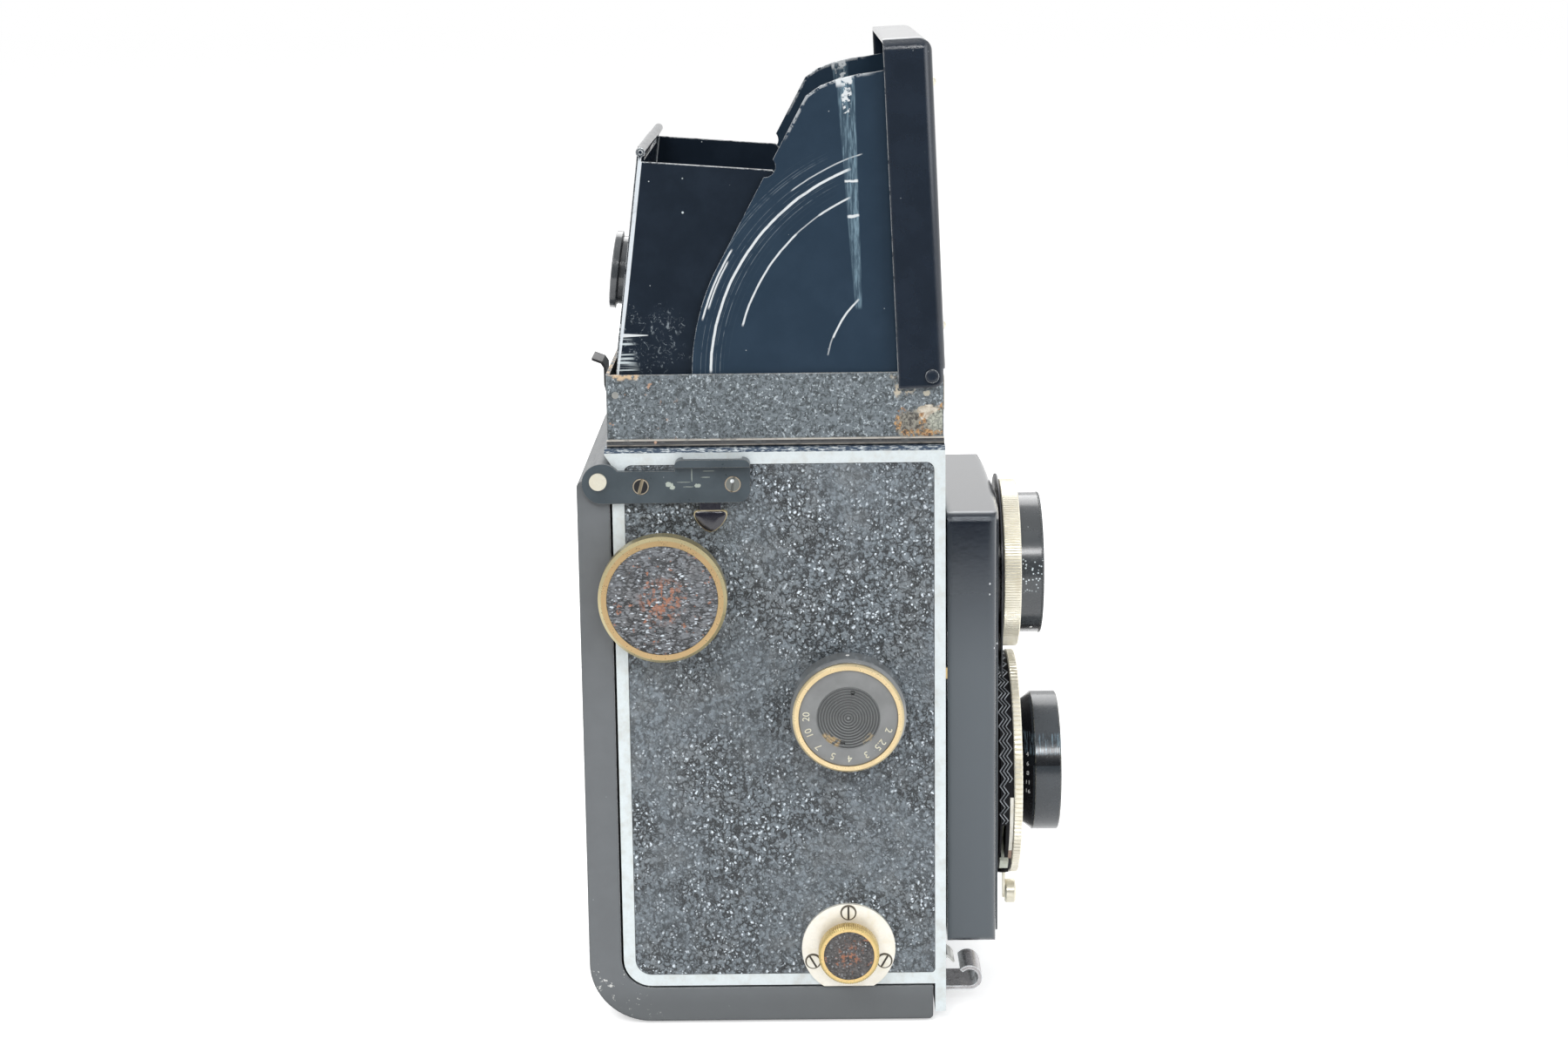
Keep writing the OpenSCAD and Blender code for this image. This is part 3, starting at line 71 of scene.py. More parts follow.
# ---------------------------------------------------------------- materials
class Shade:
    """A node material in the object's own millimetres, with a Principled shader."""

    def __init__(self, name):
        self.mat = bpy.data.materials.new(name)
        self.mat.use_nodes = True
        self.tree = self.mat.node_tree
        self.tree.nodes.clear()
        out = self.tree.nodes.new("ShaderNodeOutputMaterial")
        self.bsdf = self.tree.nodes.new("ShaderNodeBsdfPrincipled")
        self.tree.links.new(self.bsdf.outputs[0], out.inputs[0])
        coord = self.tree.nodes.new("ShaderNodeTexCoord")
        scale = self.tree.nodes.new("ShaderNodeVectorMath")
        scale.operation = "SCALE"
        scale.inputs[3].default_value = 1000
        self.tree.links.new(coord.outputs["Object"], scale.inputs[0])
        self.pos = scale.outputs[0]
        self.normal = coord.outputs["Normal"]
        self._xyz = None

    def put(self, socket, value):
        """Links or sets a socket: a number fills a vector, and a colour without alpha gets one."""
        if isinstance(value, bpy.types.NodeSocket):
            self.tree.links.new(value, socket)
        elif value is not None:
            if hasattr(socket.default_value, "__len__"):
                width = len(socket.default_value)
                if not hasattr(value, "__len__"):
                    value = [value] * width
                elif width == 4 and len(value) == 3:
                    value = (*value, 1)
            socket.default_value = value

    def set(self, **values):
        """Puts values on the Principled shader's inputs, named as in base_color."""
        for key, value in values.items():
            self.put(self.bsdf.inputs[key.replace("_", " ").title().replace("Ior", "IOR")], value)
        return self

    def math(self, op, a, b=None):
        node = self.tree.nodes.new("ShaderNodeMath")
        node.operation = op
        for socket, value in zip(node.inputs, (a, b)):
            self.put(socket, value)
        return node.outputs[0]

    def xyz(self, axis):
        if self._xyz is None:
            node = self.tree.nodes.new("ShaderNodeSeparateXYZ")
            self.put(node.inputs[0], self.pos)
            self._xyz = node.outputs
        return self._xyz["xyz".index(axis)]

    def polar(self, cx, cz):
        """The distance from an axis along Y, and the angle about it in degrees from +X towards +Z."""
        dx = self.math("SUBTRACT", self.xyz("x"), cx)
        dz = self.math("SUBTRACT", self.xyz("z"), cz)
        squares = self.math("ADD", self.math("MULTIPLY", dx, dx), self.math("MULTIPLY", dz, dz))
        radius = self.math("SQRT", squares)
        return radius, self.math("MULTIPLY", self.math("ARCTAN2", dz, dx), 180 / math.pi)

    def facing(self, axis):
        """1 where the surface faces along an axis of the model, either way."""
        node = self.tree.nodes.new("ShaderNodeSeparateXYZ")
        self.put(node.inputs[0], self.normal)
        return self.band(self.math("ABSOLUTE", node.outputs["xyz".index(axis)]), 0.6, 0.8)

    def box(self, x0, x1, z0, z1, soft=0.2):
        """1 inside a rectangle in X and Z."""
        wander = self.band(self.noise(0.3, 3), 0.3, 0.7, -soft, soft)
        along = self.near(self.math("ADD", self.xyz("x"), wander), (x0 + x1) / 2, (x1 - x0) / 2, soft)
        down = self.math("SUBTRACT", self.xyz("z"), wander)
        return self.both(along, self.near(down, (z0 + z1) / 2, (z1 - z0) / 2, soft))

    def blot(self, x, z, wide, high, ragged=0.9, scale=1.4):
        """1 inside a ragged spot in X and Z."""
        dx = self.math("DIVIDE", self.math("SUBTRACT", self.xyz("x"), x), wide)
        dz = self.math("DIVIDE", self.math("SUBTRACT", self.xyz("z"), z), high)
        away = self.math("ADD", self.math("MULTIPLY", dx, dx), self.math("MULTIPLY", dz, dz))
        fringe = self.band(self.noise(scale, 4, 0.7), 0.25, 0.75, -ragged, ragged, smooth=False)
        return self.band(self.math("ADD", away, fringe), 0.75, 1.05, 1, 0)

    def flecks(self, cell, size, share=0.5, vec=None):
        """Small round spots, one in some of the cells."""
        node = self.tree.nodes.new("ShaderNodeTexVoronoi")
        self.put(node.inputs["Vector"], vec if vec else self.pos)
        node.inputs["Scale"].default_value = 1 / cell
        picked = self.tree.nodes.new("ShaderNodeSeparateColor")
        self.put(picked.inputs[0], node.outputs["Color"])
        spot = self.band(node.outputs["Distance"], size / cell * 0.7, size / cell, 1, 0)
        return self.both(spot, self.math("GREATER_THAN", picked.outputs[0], 1 - share))

    def stretch(self, x, y, z):
        """The position scaled along each axis; a small scale draws a texture out."""
        node = self.tree.nodes.new("ShaderNodeMapping")
        self.put(node.inputs[0], self.pos)
        node.inputs["Scale"].default_value = (x, y, z)
        return node.outputs[0]

    def noise(self, scale, detail=3, rough=0.55, vec=None, warp=0, color=False):
        node = self.tree.nodes.new("ShaderNodeTexNoise")
        self.put(node.inputs["Vector"], vec if vec else self.pos)
        node.inputs["Scale"].default_value = scale
        node.inputs["Detail"].default_value = detail
        node.inputs["Roughness"].default_value = rough
        node.inputs["Distortion"].default_value = warp
        return node.outputs[1 if color else 0]

    def creases(self, scale, vec):
        """The distance from the borders between irregular cells."""
        node = self.tree.nodes.new("ShaderNodeTexVoronoi")
        node.feature = "DISTANCE_TO_EDGE"
        self.put(node.inputs["Vector"], vec)
        node.inputs["Scale"].default_value = scale
        return node.outputs["Distance"]

    def add(self, a, b):
        node = self.tree.nodes.new("ShaderNodeVectorMath")
        self.put(node.inputs[0], a)
        self.put(node.inputs[1], b)
        return node.outputs[0]

    def scaled(self, vec, factor):
        node = self.tree.nodes.new("ShaderNodeVectorMath")
        node.operation = "SCALE"
        self.put(node.inputs[0], vec)
        self.put(node.inputs[3], factor)
        return node.outputs[0]

    def band(self, value, low, high, out0=0.0, out1=1.0, smooth=True):
        """Carries value from low..high over to out0..out1, held at both ends."""
        node = self.tree.nodes.new("ShaderNodeMapRange")
        node.interpolation_type = "SMOOTHSTEP" if smooth else "LINEAR"
        self.put(node.inputs["Value"], value)
        for key, v in (("From Min", low), ("From Max", high), ("To Min", out0), ("To Max", out1)):
            self.put(node.inputs[key], v)
        return node.outputs[0]

    def near(self, value, centre, half, soft):
        """1 where value is within half of centre, falling to 0 over soft."""
        gap = self.math("ABSOLUTE", self.math("SUBTRACT", value, centre))
        return self.band(gap, half, half + soft, 1, 0)

    def both(self, *masks):
        """1 where all the masks are."""
        result = masks[0]
        for mask in masks[1:]:
            result = self.math("MULTIPLY", result, mask)
        return result

    def either(self, *masks):
        """1 where any of the masks is."""
        result = masks[0]
        for mask in masks[1:]:
            result = self.math("MAXIMUM", result, mask)
        return result

    def mix(self, mask, a, b):
        node = self.tree.nodes.new("ShaderNodeMix")
        node.data_type = "RGBA"
        self.put(node.inputs[0], mask)
        self.put(node.inputs[6], a)
        self.put(node.inputs[7], b)
        return node.outputs[2]

    def bump(self, height, distance, strength=1, normal=None):
        """A bump whose height of 1 stands distance millimetres high."""
        node = self.tree.nodes.new("ShaderNodeBump")
        self.put(node.inputs["Height"], height)
        node.inputs["Distance"].default_value = distance * MM
        node.inputs["Strength"].default_value = strength
        if normal:
            self.put(node.inputs["Normal"], normal)
        return node.outputs[0]

    def edges(self, radius, low=0.05, high=0.3):
        """1 on edges, where a rounded normal leaves the face's own."""
        node = self.tree.nodes.new("ShaderNodeBevel")
        node.samples = 4
        node.inputs["Radius"].default_value = radius * MM
        geo = self.tree.nodes.new("ShaderNodeNewGeometry")
        dot = self.tree.nodes.new("ShaderNodeVectorMath")
        dot.operation = "DOT_PRODUCT"
        self.put(dot.inputs[0], node.outputs[0])
        self.put(dot.inputs[1], geo.outputs["Normal"])
        turned = self.math("SUBTRACT", 1, dot.outputs["Value"])
        return self.band(turned, low, high)


WHITE_WEAR_AND_GLINT = (0.86, 0.9, 0.92)


def paint(name, color, rough=0.2, dust=0.3, grain=0.012, level=0.5, rounded=0.25, coat=0.0, film=0.1,
          vary=0.14, cloudy=0.11):
    """Black lacquer: orange peel, cloudy handling marks and dust flecks."""
    s = Shade(name)
    fine = s.noise(1.8, 5)
    cloud = s.noise(0.16, 4, 0.6)
    tone = s.mix(
        s.band(cloud, 0.35, 0.7), [c * (1 - cloudy) for c in color], [c * (1 + cloudy) for c in color])
    specks = s.math("MULTIPLY", s.flecks(2.6, 0.13, 0.35), dust)
    s.tone = s.mix(specks, tone, (0.55, 0.6, 0.62))
    s.rough = s.band(s.math("ADD", cloud, s.math("MULTIPLY", fine, 0.5)), 0.45, 1.05, rough, rough + vary)
    rim = s.tree.nodes.new("ShaderNodeBevel")
    rim.samples = 4
    rim.inputs["Radius"].default_value = rounded * MM
    s.set(base_color=s.tone, roughness=s.rough, normal=s.bump(s.noise(0.9, 2), grain, 1, rim.outputs[0]))
    s.set(specular_ior_level=level, coat_weight=coat, coat_roughness=film)
    s.put(s.bsdf.inputs["Coat Normal"], rim.outputs[0])
    return s


def lay_wear_and_light(s, mask, color, metal=0.0, rough=None):
    """Lays a colour over a finished shade where the mask is 1: wear, and at some places painted shade,
    painted highlights and painted reflections.
    """
    s.tone = s.mix(mask, s.tone, color)
    values = {"base_color": s.tone}
    if metal:
        s.metal = s.math("MAXIMUM", s.math("MULTIPLY", mask, metal), getattr(s, "metal", 0.0))
        values["metallic"] = s.metal
    if rough is not None:
        s.rough = s.band(mask, 0, 1, s.rough, rough, smooth=False)
        values["roughness"] = s.rough
    return s.set(**values)


def edge_wear_and_glint(s, radius=0.22, color=WHITE_WEAR_AND_GLINT, low=0.04, high=0.22, strength=0.9):
    """Rubs the edges through, in broken stretches; on the latch the pale rubbed edges also stand as painted
    highlights.
    """
    broken = s.band(s.noise(0.7, 4, 0.7), 0.36, 0.52)
    mask = s.both(s.edges(radius, low, high), broken)
    return lay_wear_and_light(s, s.math("MULTIPLY", mask, strength), color, 0.4)


def leather_shade(name, cell, tone, crown_glint=0.9, flow=(1, 1, 1), rust=None):
    """Pressed leather: wrinkled pebbles, painted shade in the creases and painted highlights on the crowns.
    """
    s = Shade(name)
    base = s.stretch(*flow)
    at = s.add(base, s.scaled(s.noise(0.9, 3, 0.6, color=True, vec=base), 1.1 * cell))
    crease = s.creases(1 / cell, at)
    ripple = s.noise(1.0 / cell, 4, 0.6, vec=base, warp=0.9)
    fine = s.noise(3.5, 4)
    flat = s.band(s.noise(0.06, 3, 0.6), 0.42, 0.62)
    lively = s.band(flat, 0, 1, 1, 0.4, smooth=False)
    height = s.math("ADD", s.math("MULTIPLY", s.band(crease, 0.0, 0.3), 0.6), ripple)
    # The tone follows the ripples: lighter on their crests and darker in their hollows, partly painted shade
    color = s.mix(s.band(ripple, 0.35, 0.68), [t * 0.62 for t in tone], [t * 1.3 for t in tone])
    warm = s.math("MULTIPLY", s.band(s.noise(0.2, 3), 0.45, 0.65), 0.35)
    color = s.mix(warm, color, (tone[0] * 1.15, tone[1] * 1.04, tone[2] * 0.95))
    # Painted shade in the creases and in the ripples' hollows
    crease_shade = s.both(s.band(crease, 0.03, 0.2, 1, 0), s.band(s.noise(0.7 / cell, 2), 0.4, 0.54))
    crease_shade = s.either(crease_shade, s.math("MULTIPLY", s.band(ripple, 0.47, 0.4), 0.9))
    color = s.mix(s.both(crease_shade, lively), color, [t * 0.12 for t in tone])
    # Painted highlights: pale glints on the pebbles' crowns
    crown = s.either(s.flecks(cell, cell * 0.3, 0.62, at), s.flecks(cell * 0.62, cell * 0.2, 0.34, at))
    crown = s.both(crown, lively, s.band(s.noise(0.5 / cell, 2, vec=s.add(at, (7, 3, 5))), 0.38, 0.6))
    color = s.mix(s.math("MULTIPLY", crown, crown_glint), color, (0.8, 0.88, 0.95))
    if rust:
        x, z, reach, amount = rust
        away, _ = s.polar(x, z)
        red = s.both(s.band(s.noise(1.1, 4, 0.65), 0.5, 0.58), s.band(away, reach * 0.4, reach, 1, 0))
        stray = s.both(
            s.band(s.noise(0.9, 4, 0.65), 0.62, 0.68), s.band(away, reach * 2, reach * 2.2, 1, 0.3))
        color = s.mix(s.math("MULTIPLY", s.either(red, stray), amount), color, (0.42, 0.17, 0.09))
    s.tone = color
    s.rough = s.band(s.math("ADD", fine, s.math("MULTIPLY", ripple, 0.4)), 0.4, 1.0, 0.24, 0.46)
    s.set(base_color=color, roughness=s.rough, normal=s.bump(fine, 0.02, 1, s.bump(height, 0.3)))
    return s


def metal_shade(name, color, rough, patina, amount, metal=0.85, grain=0.008):
    """Plated or bare metal with cloudy patina and pits."""
    s = Shade(name)
    fine = s.noise(2.5, 5)
    cloud = s.noise(0.45, 4, 0.6)
    mask = s.math("MULTIPLY", s.band(s.math("ADD", cloud, s.math("MULTIPLY", fine, 0.4)), 0.62, 0.95), amount)
    s.tone = s.mix(mask, s.mix(s.band(fine, 0.3, 0.7), [c * 0.93 for c in color], color), patina)
    s.tone = s.mix(s.math("MULTIPLY", s.flecks(2.2, 0.14, 0.3), amount), s.tone, [p * 0.6 for p in patina])
    s.metal = s.band(mask, 0, 1, metal, metal * 0.5, smooth=False)
    s.rough = s.band(s.math("ADD", fine, mask), 0.3, 1.4, rough, rough + 0.25)
    s.set(base_color=s.tone, metallic=s.metal, roughness=s.rough, normal=s.bump(fine, grain))
    return s


def centre(node):
    """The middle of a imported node's box, in millimetres."""
    low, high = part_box(node)
    return [(a + b) / 2 / MM for a, b in zip(low, high)]


# Where things are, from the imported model
PIVOT = centre("lid_pivots")
WIND = centre("wind_knob")
FOCUS = centre("focus_rim")
FEED = centre("feed_knob")
TAKE = centre("take_barrel")
VIEW = centre("view_barrel")
LID_LEAN = 2.9  # degrees towards the rear
WALL_HINGE = (-30.6, 124.4)  # X and Z
WALL_LEAN = 7.1  # degrees towards the front
DECK_EDGE_Z = 113.62  # just under the bevel along the casting's top edge
BASE_SIDE_Y = 34.52  # just outside the hood base's plain side: only its bead is further out
BEAD_Z = 115.95  # upper limit of the smooth bead along the hood base's foot
SCREW_HEAD_Y = 38.05  # just above the bottoms of the slots in the flange's screws

# Black parts
lid_paint = paint("lid_enamel", (0.012, 0.019, 0.031), 0.14, 0.25, rounded=0.8, coat=0.5, vary=0.05)
lid_paint = edge_wear_and_glint(lid_paint, 0.3, strength=0.8)
wing_paint = paint("wing_enamel", (0.02, 0.038, 0.062), 0.16, 0.6, vary=0.06, cloudy=0.05)
wall_paint = paint("rear_wall_enamel", (0.011, 0.018, 0.029), 0.15, 0.9, vary=0.06)
cover_paint = paint("cover_enamel", (0.128, 0.138, 0.146), 0.34, 0.3, rounded=0.8, cloudy=0.05)
arm_paint = paint("arm_enamel", (0.05, 0.066, 0.078), 0.26, 0.4)
arm_paint = edge_wear_and_glint(arm_paint, 0.15, (0.5, 0.46, 0.4), strength=0.6)
tab_paint = paint("tab_enamel", (0.012, 0.012, 0.02), 0.14, 0.2, coat=0.6)
standard_paint = paint(
    "standard_enamel", (0.008, 0.012, 0.02), 0.13, 0.45, rounded=1.5, coat=0.75, vary=0.05)
plate_paint = paint("lens_plate_enamel", (0.03, 0.034, 0.04), 0.22, 0.3)
barrel_paint = paint("barrel_enamel", (0.045, 0.052, 0.058), 0.2, 0.5, rounded=0.3, coat=0.6, film=0.16)
hood_paint = paint("lens_hood_enamel", (0.034, 0.042, 0.05), 0.2, 0.2, rounded=0.3, coat=0.35, film=0.12)
# Painted reflection: the knob skirt's grey stands partly for the bright room that its top mirrors
skirt_paint = paint("knob_skirt", (0.15, 0.16, 0.165), 0.3, 0.4, rounded=0.4, coat=1.0)
magnifier_paint = paint("magnifier_enamel", (0.07, 0.078, 0.085), 0.2, 0.3, coat=0.8)
screw_paint = paint("screw_black", (0.16, 0.17, 0.16), 0.3, 0.2)
# The ribs' pale grey stands partly for the light on their slopes: painted highlight
drum_paint = paint("drum_ribs", (0.42, 0.45, 0.48), 0.22, 0.0, coat=0.5)
housing_paint = paint("shutter_black", (0.005, 0.005, 0.007), 0.5, 0.1, level=0.2)
satin = paint("black_satin", (0.02, 0.02, 0.022), 0.34)


def angled(s, along_from, along_to, inward, half_from, half_to):
    """A stripe beside the lid: inward from its pivots, tapering along its length."""
    lean = math.radians(LID_LEAN)
    dx = s.math("SUBTRACT", s.xyz("x"), PIVOT[0])
    dz = s.math("SUBTRACT", s.xyz("z"), PIVOT[2])
    along = s.math("SUBTRACT", s.math("MULTIPLY", dz, math.cos(lean)), s.math("MULTIPLY", dx, math.sin(lean)))
    across = s.math("ADD", s.math("MULTIPLY", dx, math.cos(lean)), s.math("MULTIPLY", dz, math.sin(lean)))
    across = s.math("ABSOLUTE", s.math("ADD", across, inward))
    half = s.band(along, along_from, along_to, half_from, half_to, smooth=False)
    inside = s.band(s.math("SUBTRACT", across, half), 0, 0.35, 1, 0)
    ends = s.near(along, (along_from + along_to) / 2, abs(along_to - along_from) / 2, 1.0)
    return s.both(inside, ends), along


def rubbed_wings(s):
    """The arcs that the folding sheets scratch about the lid's pivots, and the rubbed stripe.

    Each arc is its radius, half width, first and last angle, and strength.
    """
    side = s.facing("y")
    radius, angle = s.polar(PIVOT[0], PIVOT[2])
    broken = s.band(s.noise(0.55, 4, 0.7), 0.34, 0.5)
    haze = s.noise(1.0, 3, 0.6, vec=s.scaled(s.pos, 0.5))
    rings = s.tree.nodes.new("ShaderNodeTexNoise")
    rings.noise_dimensions = "1D"
    s.put(rings.inputs["W"], radius)
    rings.inputs["Scale"].default_value = 3.2
    rings.inputs["Detail"].default_value = 4
    fine = s.both(s.band(rings.outputs[0], 0.55, 0.75), s.near(radius, 43, 3, 2), s.near(angle, 150, 28, 8))
    lay_wear_and_light(s, s.both(fine, side, s.math("MULTIPLY", s.band(haze, 0.35, 0.6), 0.3)), (0.4, 0.46, 0.5))
    for r, width, start, stop, strength in (
        (41.5, 0.17, 112, 178, 1.0), (36.65, 0.11, 134, 164, 0.95), (36.65, 0.05, 123, 136, 0.5),
        (36.65, 0.11, 115, 124, 0.9), (19.7, 0.11, 134, 158, 0.95), (19.8, 0.07, 157, 168, 0.4),
        (44.2, 0.1, 148, 165, 0.95), (43.7, 0.08, 151, 162, 0.9), (43.4, 0.05, 108, 126, 0.6),
        (50.3, 0.1, 170, 176, 0.8),
    ):
        span = s.near(angle, (start + stop) / 2, (stop - start) / 2, 1.2)
        line = s.near(radius, s.math("ADD", r, s.math("MULTIPLY", s.noise(0.3, 2), 0.25)), width, 0.12)
        lay_wear_and_light(s, s.both(line, span, side, s.band(broken, 0, 1, strength * 0.8, strength)), WHITE_WEAR_AND_GLINT, 0.3)
    streak = s.noise(1.0, 4, 0.65, vec=s.stretch(2.4, 1, 0.25))
    stripe, along = angled(s, 14, 57, 13.0, 0.45, 1.5)
    lay_wear_and_light(s, s.both(stripe, side, s.band(streak, 0.4, 0.72, 0.12, 0.75)), (0.22, 0.33, 0.4))
    knocks = s.band(s.noise(0.9, 3, 0.6), 0.52, 0.57)
    for level in (36.9, 30.4):
        wavy = s.math("ADD", level, s.math("MULTIPLY", s.noise(0.6, 2), 0.8))
        lay_wear_and_light(s, s.both(stripe, s.near(along, wavy, 0.16, 0.15), side), WHITE_WEAR_AND_GLINT, 0.3)
    blob, _ = angled(s, 55.5, 59.5, 13.4, 1.2, 1.8)
    lay_wear_and_light(s, s.both(blob, side, s.band(s.noise(0.7, 4, 0.6), 0.42, 0.48)), WHITE_WEAR_AND_GLINT, 0.3)
    blob, _ = angled(s, 50, 58, 13.0, 0.4, 1.3)
    lay_wear_and_light(s, s.both(blob, side, knocks), WHITE_WEAR_AND_GLINT, 0.3)
    scraped = s.both(
        s.edges(0.9, 0.004, 0.03), s.near(angle, 111, 8, 3), s.band(s.noise(0.8, 4, 0.7), 0.42, 0.5), side)
    lay_wear_and_light(s, scraped, WHITE_WEAR_AND_GLINT, 0.3)
    slant = s.math("SUBTRACT", s.xyz("z"), s.math("MULTIPLY", s.xyz("x"), 0.36))
    short = s.both(s.near(slant, 175.0, 0.12, 0.1), s.near(s.xyz("x"), 1.6, 2.0, 0.8), side)
    lay_wear_and_light(s, short, WHITE_WEAR_AND_GLINT, 0.3)
    return edge_wear_and_glint(s, 0.2)


rubbed_wings(wing_paint)


def rubbed_wall(s):
    """Wear on the rear wall's wings: rubbed lines low down, a bright tongue and the pale rear bend."""
    side = s.facing("y")
    lines = s.noise(1.0, 3, 0.5, vec=s.stretch(0.08, 1, 2.4))
    region = s.box(-31.3, -26.8, 128.5, 134.8, 1.5)
    rubbed = s.both(region, side, s.band(lines, 0.5, 0.62), s.near(s.xyz("x"), -31, 2.5, 3))
    lay_wear_and_light(s, rubbed, (0.5, 0.56, 0.58))
    taper = s.band(s.xyz("x"), -31.3, -24.6, 0.42, 0.02, smooth=False)
    off = s.math("ABSOLUTE", s.math("SUBTRACT", s.xyz("z"), 135.5))
    bright = s.both(
        s.band(s.math("SUBTRACT", off, taper), 0, 0.12, 1, 0), s.near(s.xyz("x"), -28, 3.4, 0.5), side)
    lay_wear_and_light(s, bright, WHITE_WEAR_AND_GLINT, 0.3)
    feather = s.band(s.noise(0.8, 5, 0.75, warp=1.5), 0.56, 0.66)
    feather = s.both(s.box(-29, -20, 130, 139, 2.5), side, feather)
    lay_wear_and_light(s, s.math("MULTIPLY", feather, 0.45), (0.4, 0.46, 0.5))
    lay_wear_and_light(s, s.both(s.flecks(3.4, 0.3, 0.22), side), (0.5, 0.56, 0.58))
    lean = math.radians(WALL_LEAN)
    dx = s.math("SUBTRACT", s.xyz("x"), WALL_HINGE[0])
    dz = s.math("SUBTRACT", s.xyz("z"), WALL_HINGE[1])
    along = s.math("ADD", s.math("MULTIPLY", dz, math.cos(lean)), s.math("MULTIPLY", dx, math.sin(lean)))
    across = s.math(
        "SUBTRACT", s.math("MULTIPLY", dx, math.cos(lean)), s.math("MULTIPLY", dz, math.sin(lean)))
    top = max(v.co.z for v in nodes["rear_wall"].data.vertices) / MM
    length = (top - WALL_HINGE[1]) / math.cos(lean) - 1.2
    bend = s.math("ABSOLUTE", s.math("SUBTRACT", across, 0.05))
    bend = s.math("SUBTRACT", bend, s.band(along, 2, 22, 0.1, 0.34))
    bend = s.both(s.band(bend, 0, 0.1, 1, 0), s.near(along, length / 2, length / 2 - 1.5, 1), side)
    lay_wear_and_light(s, s.both(bend, s.band(s.noise(0.5, 2), 0.25, 0.4, 0.75, 1)), (0.84, 0.9, 0.95), 0.3)
    return edge_wear_and_glint(s, 0.4, low=0.02, high=0.08, strength=1.0)


rubbed_wall(wall_paint)


def paint_standard_reflection(s):
    """Painted reflection: the lower side of the lens standard is painted lighter."""
    low = s.band(s.xyz("z"), 92, 66)
    lay_wear_and_light(s, s.both(low, s.facing("y")), (0.052, 0.062, 0.071))
    s.set(specular_tint=(0.78, 0.9, 1.0))
    chips = s.both(s.near(s.xyz("x"), 41.6, 1.1, 0.4), s.near(s.xyz("z"), 79, 6, 3), s.flecks(1.5, 0.28, 0.5))
    lay_wear_and_light(s, s.both(chips, s.facing("y")), WHITE_WEAR_AND_GLINT)
    return s


paint_standard_reflection(standard_paint)

# The barrels: a painted dark reflection underneath and behind, scuffed flecks painted bright as glints of the
# highlight where fingers turn them, and on the hood a painted highlight band over a painted dark band
# Painted dark reflection low on the viewing barrel
under = barrel_paint.band(barrel_paint.xyz("z"), VIEW[2] - 10.4, VIEW[2] - 11.2)
lay_wear_and_light(barrel_paint, under, (0.008, 0.008, 0.009))
# Scuffed flecks at the height of the highlight, painted bright: partly wear, partly painted glints
scuff_glints = barrel_paint.both(
    barrel_paint.near(barrel_paint.xyz("z"), VIEW[2] + 0.6, 2.2, 1.8), barrel_paint.flecks(0.62, 0.2, 0.6))
lay_wear_and_light(barrel_paint, scuff_glints, (0.62, 0.7, 0.74))
lay_wear_and_light(hood_paint, hood_paint.band(hood_paint.xyz("x"), 50.3, 50.5, 1, 0), (0.005, 0.005, 0.007))
# Painted highlight: a pale band across the hood, streaked round it
highlight_fibres = hood_paint.noise(1.0, 4, 0.7, vec=hood_paint.stretch(5, 0.3, 0.3))
# Painted dark reflection: a dark band just under the hood's highlight
lay_wear_and_light(hood_paint, hood_paint.near(hood_paint.xyz("z"), TAKE[2] + 4.1, 1.0, 0.3), (0.008, 0.01, 0.013))
painted_highlight_band = hood_paint.both(
    hood_paint.near(hood_paint.xyz("z"), TAKE[2] + 7.0, 1.6, 0.6), hood_paint.band(highlight_fibres, 0.5, 0.6))
lay_wear_and_light(hood_paint, painted_highlight_band, (0.16, 0.23, 0.28), 0.3)
edge_wear_and_glint(hood_paint, 0.2, (0.6, 0.56, 0.42), 0.03, 0.15, 0.7)

# The back: chipped lower rear corner, darker underneath
edge_wear_and_glint(cover_paint, 0.3, (0.55, 0.56, 0.55), 0.06, 0.3, 0.7)
chipped = cover_paint.both(
    cover_paint.box(-38, -26, -1, 10, 2), cover_paint.band(cover_paint.noise(0.8, 4, 0.7), 0.6, 0.64))
lay_wear_and_light(cover_paint, chipped, (0.6, 0.6, 0.58), 0.3)
lay_wear_and_light(cover_paint, cover_paint.band(cover_paint.xyz("z"), 8, 3, 0, 0.6), (0.088, 0.096, 0.1))

# Handling marks on the hinge arms
for x, z, wide, high, strength in (
    (-20.6, 107.9, 0.75, 0.5, 0.8), (-20.0, 107.3, 0.6, 0.4, 0.8), (-16.3, 109.6, 0.11, 1.3, 0.5),
    (-15.2, 107.6, 0.6, 0.4, 0.7), (-13.7, 109.2, 1.0, 0.1, 0.45), (-18.0, 108.3, 1.3, 0.1, 0.35),
    (-13.0, 110.4, 1.2, 0.1, 0.35), (-17.0, 107.4, 1.0, 0.12, 0.3),
):
    mark = arm_paint.both(arm_paint.blot(x, z, wide, high, 0.7, 2.2), arm_paint.facing("y"))
    lay_wear_and_light(arm_paint, arm_paint.math("MULTIPLY", mark, strength), (0.45, 0.5, 0.44))


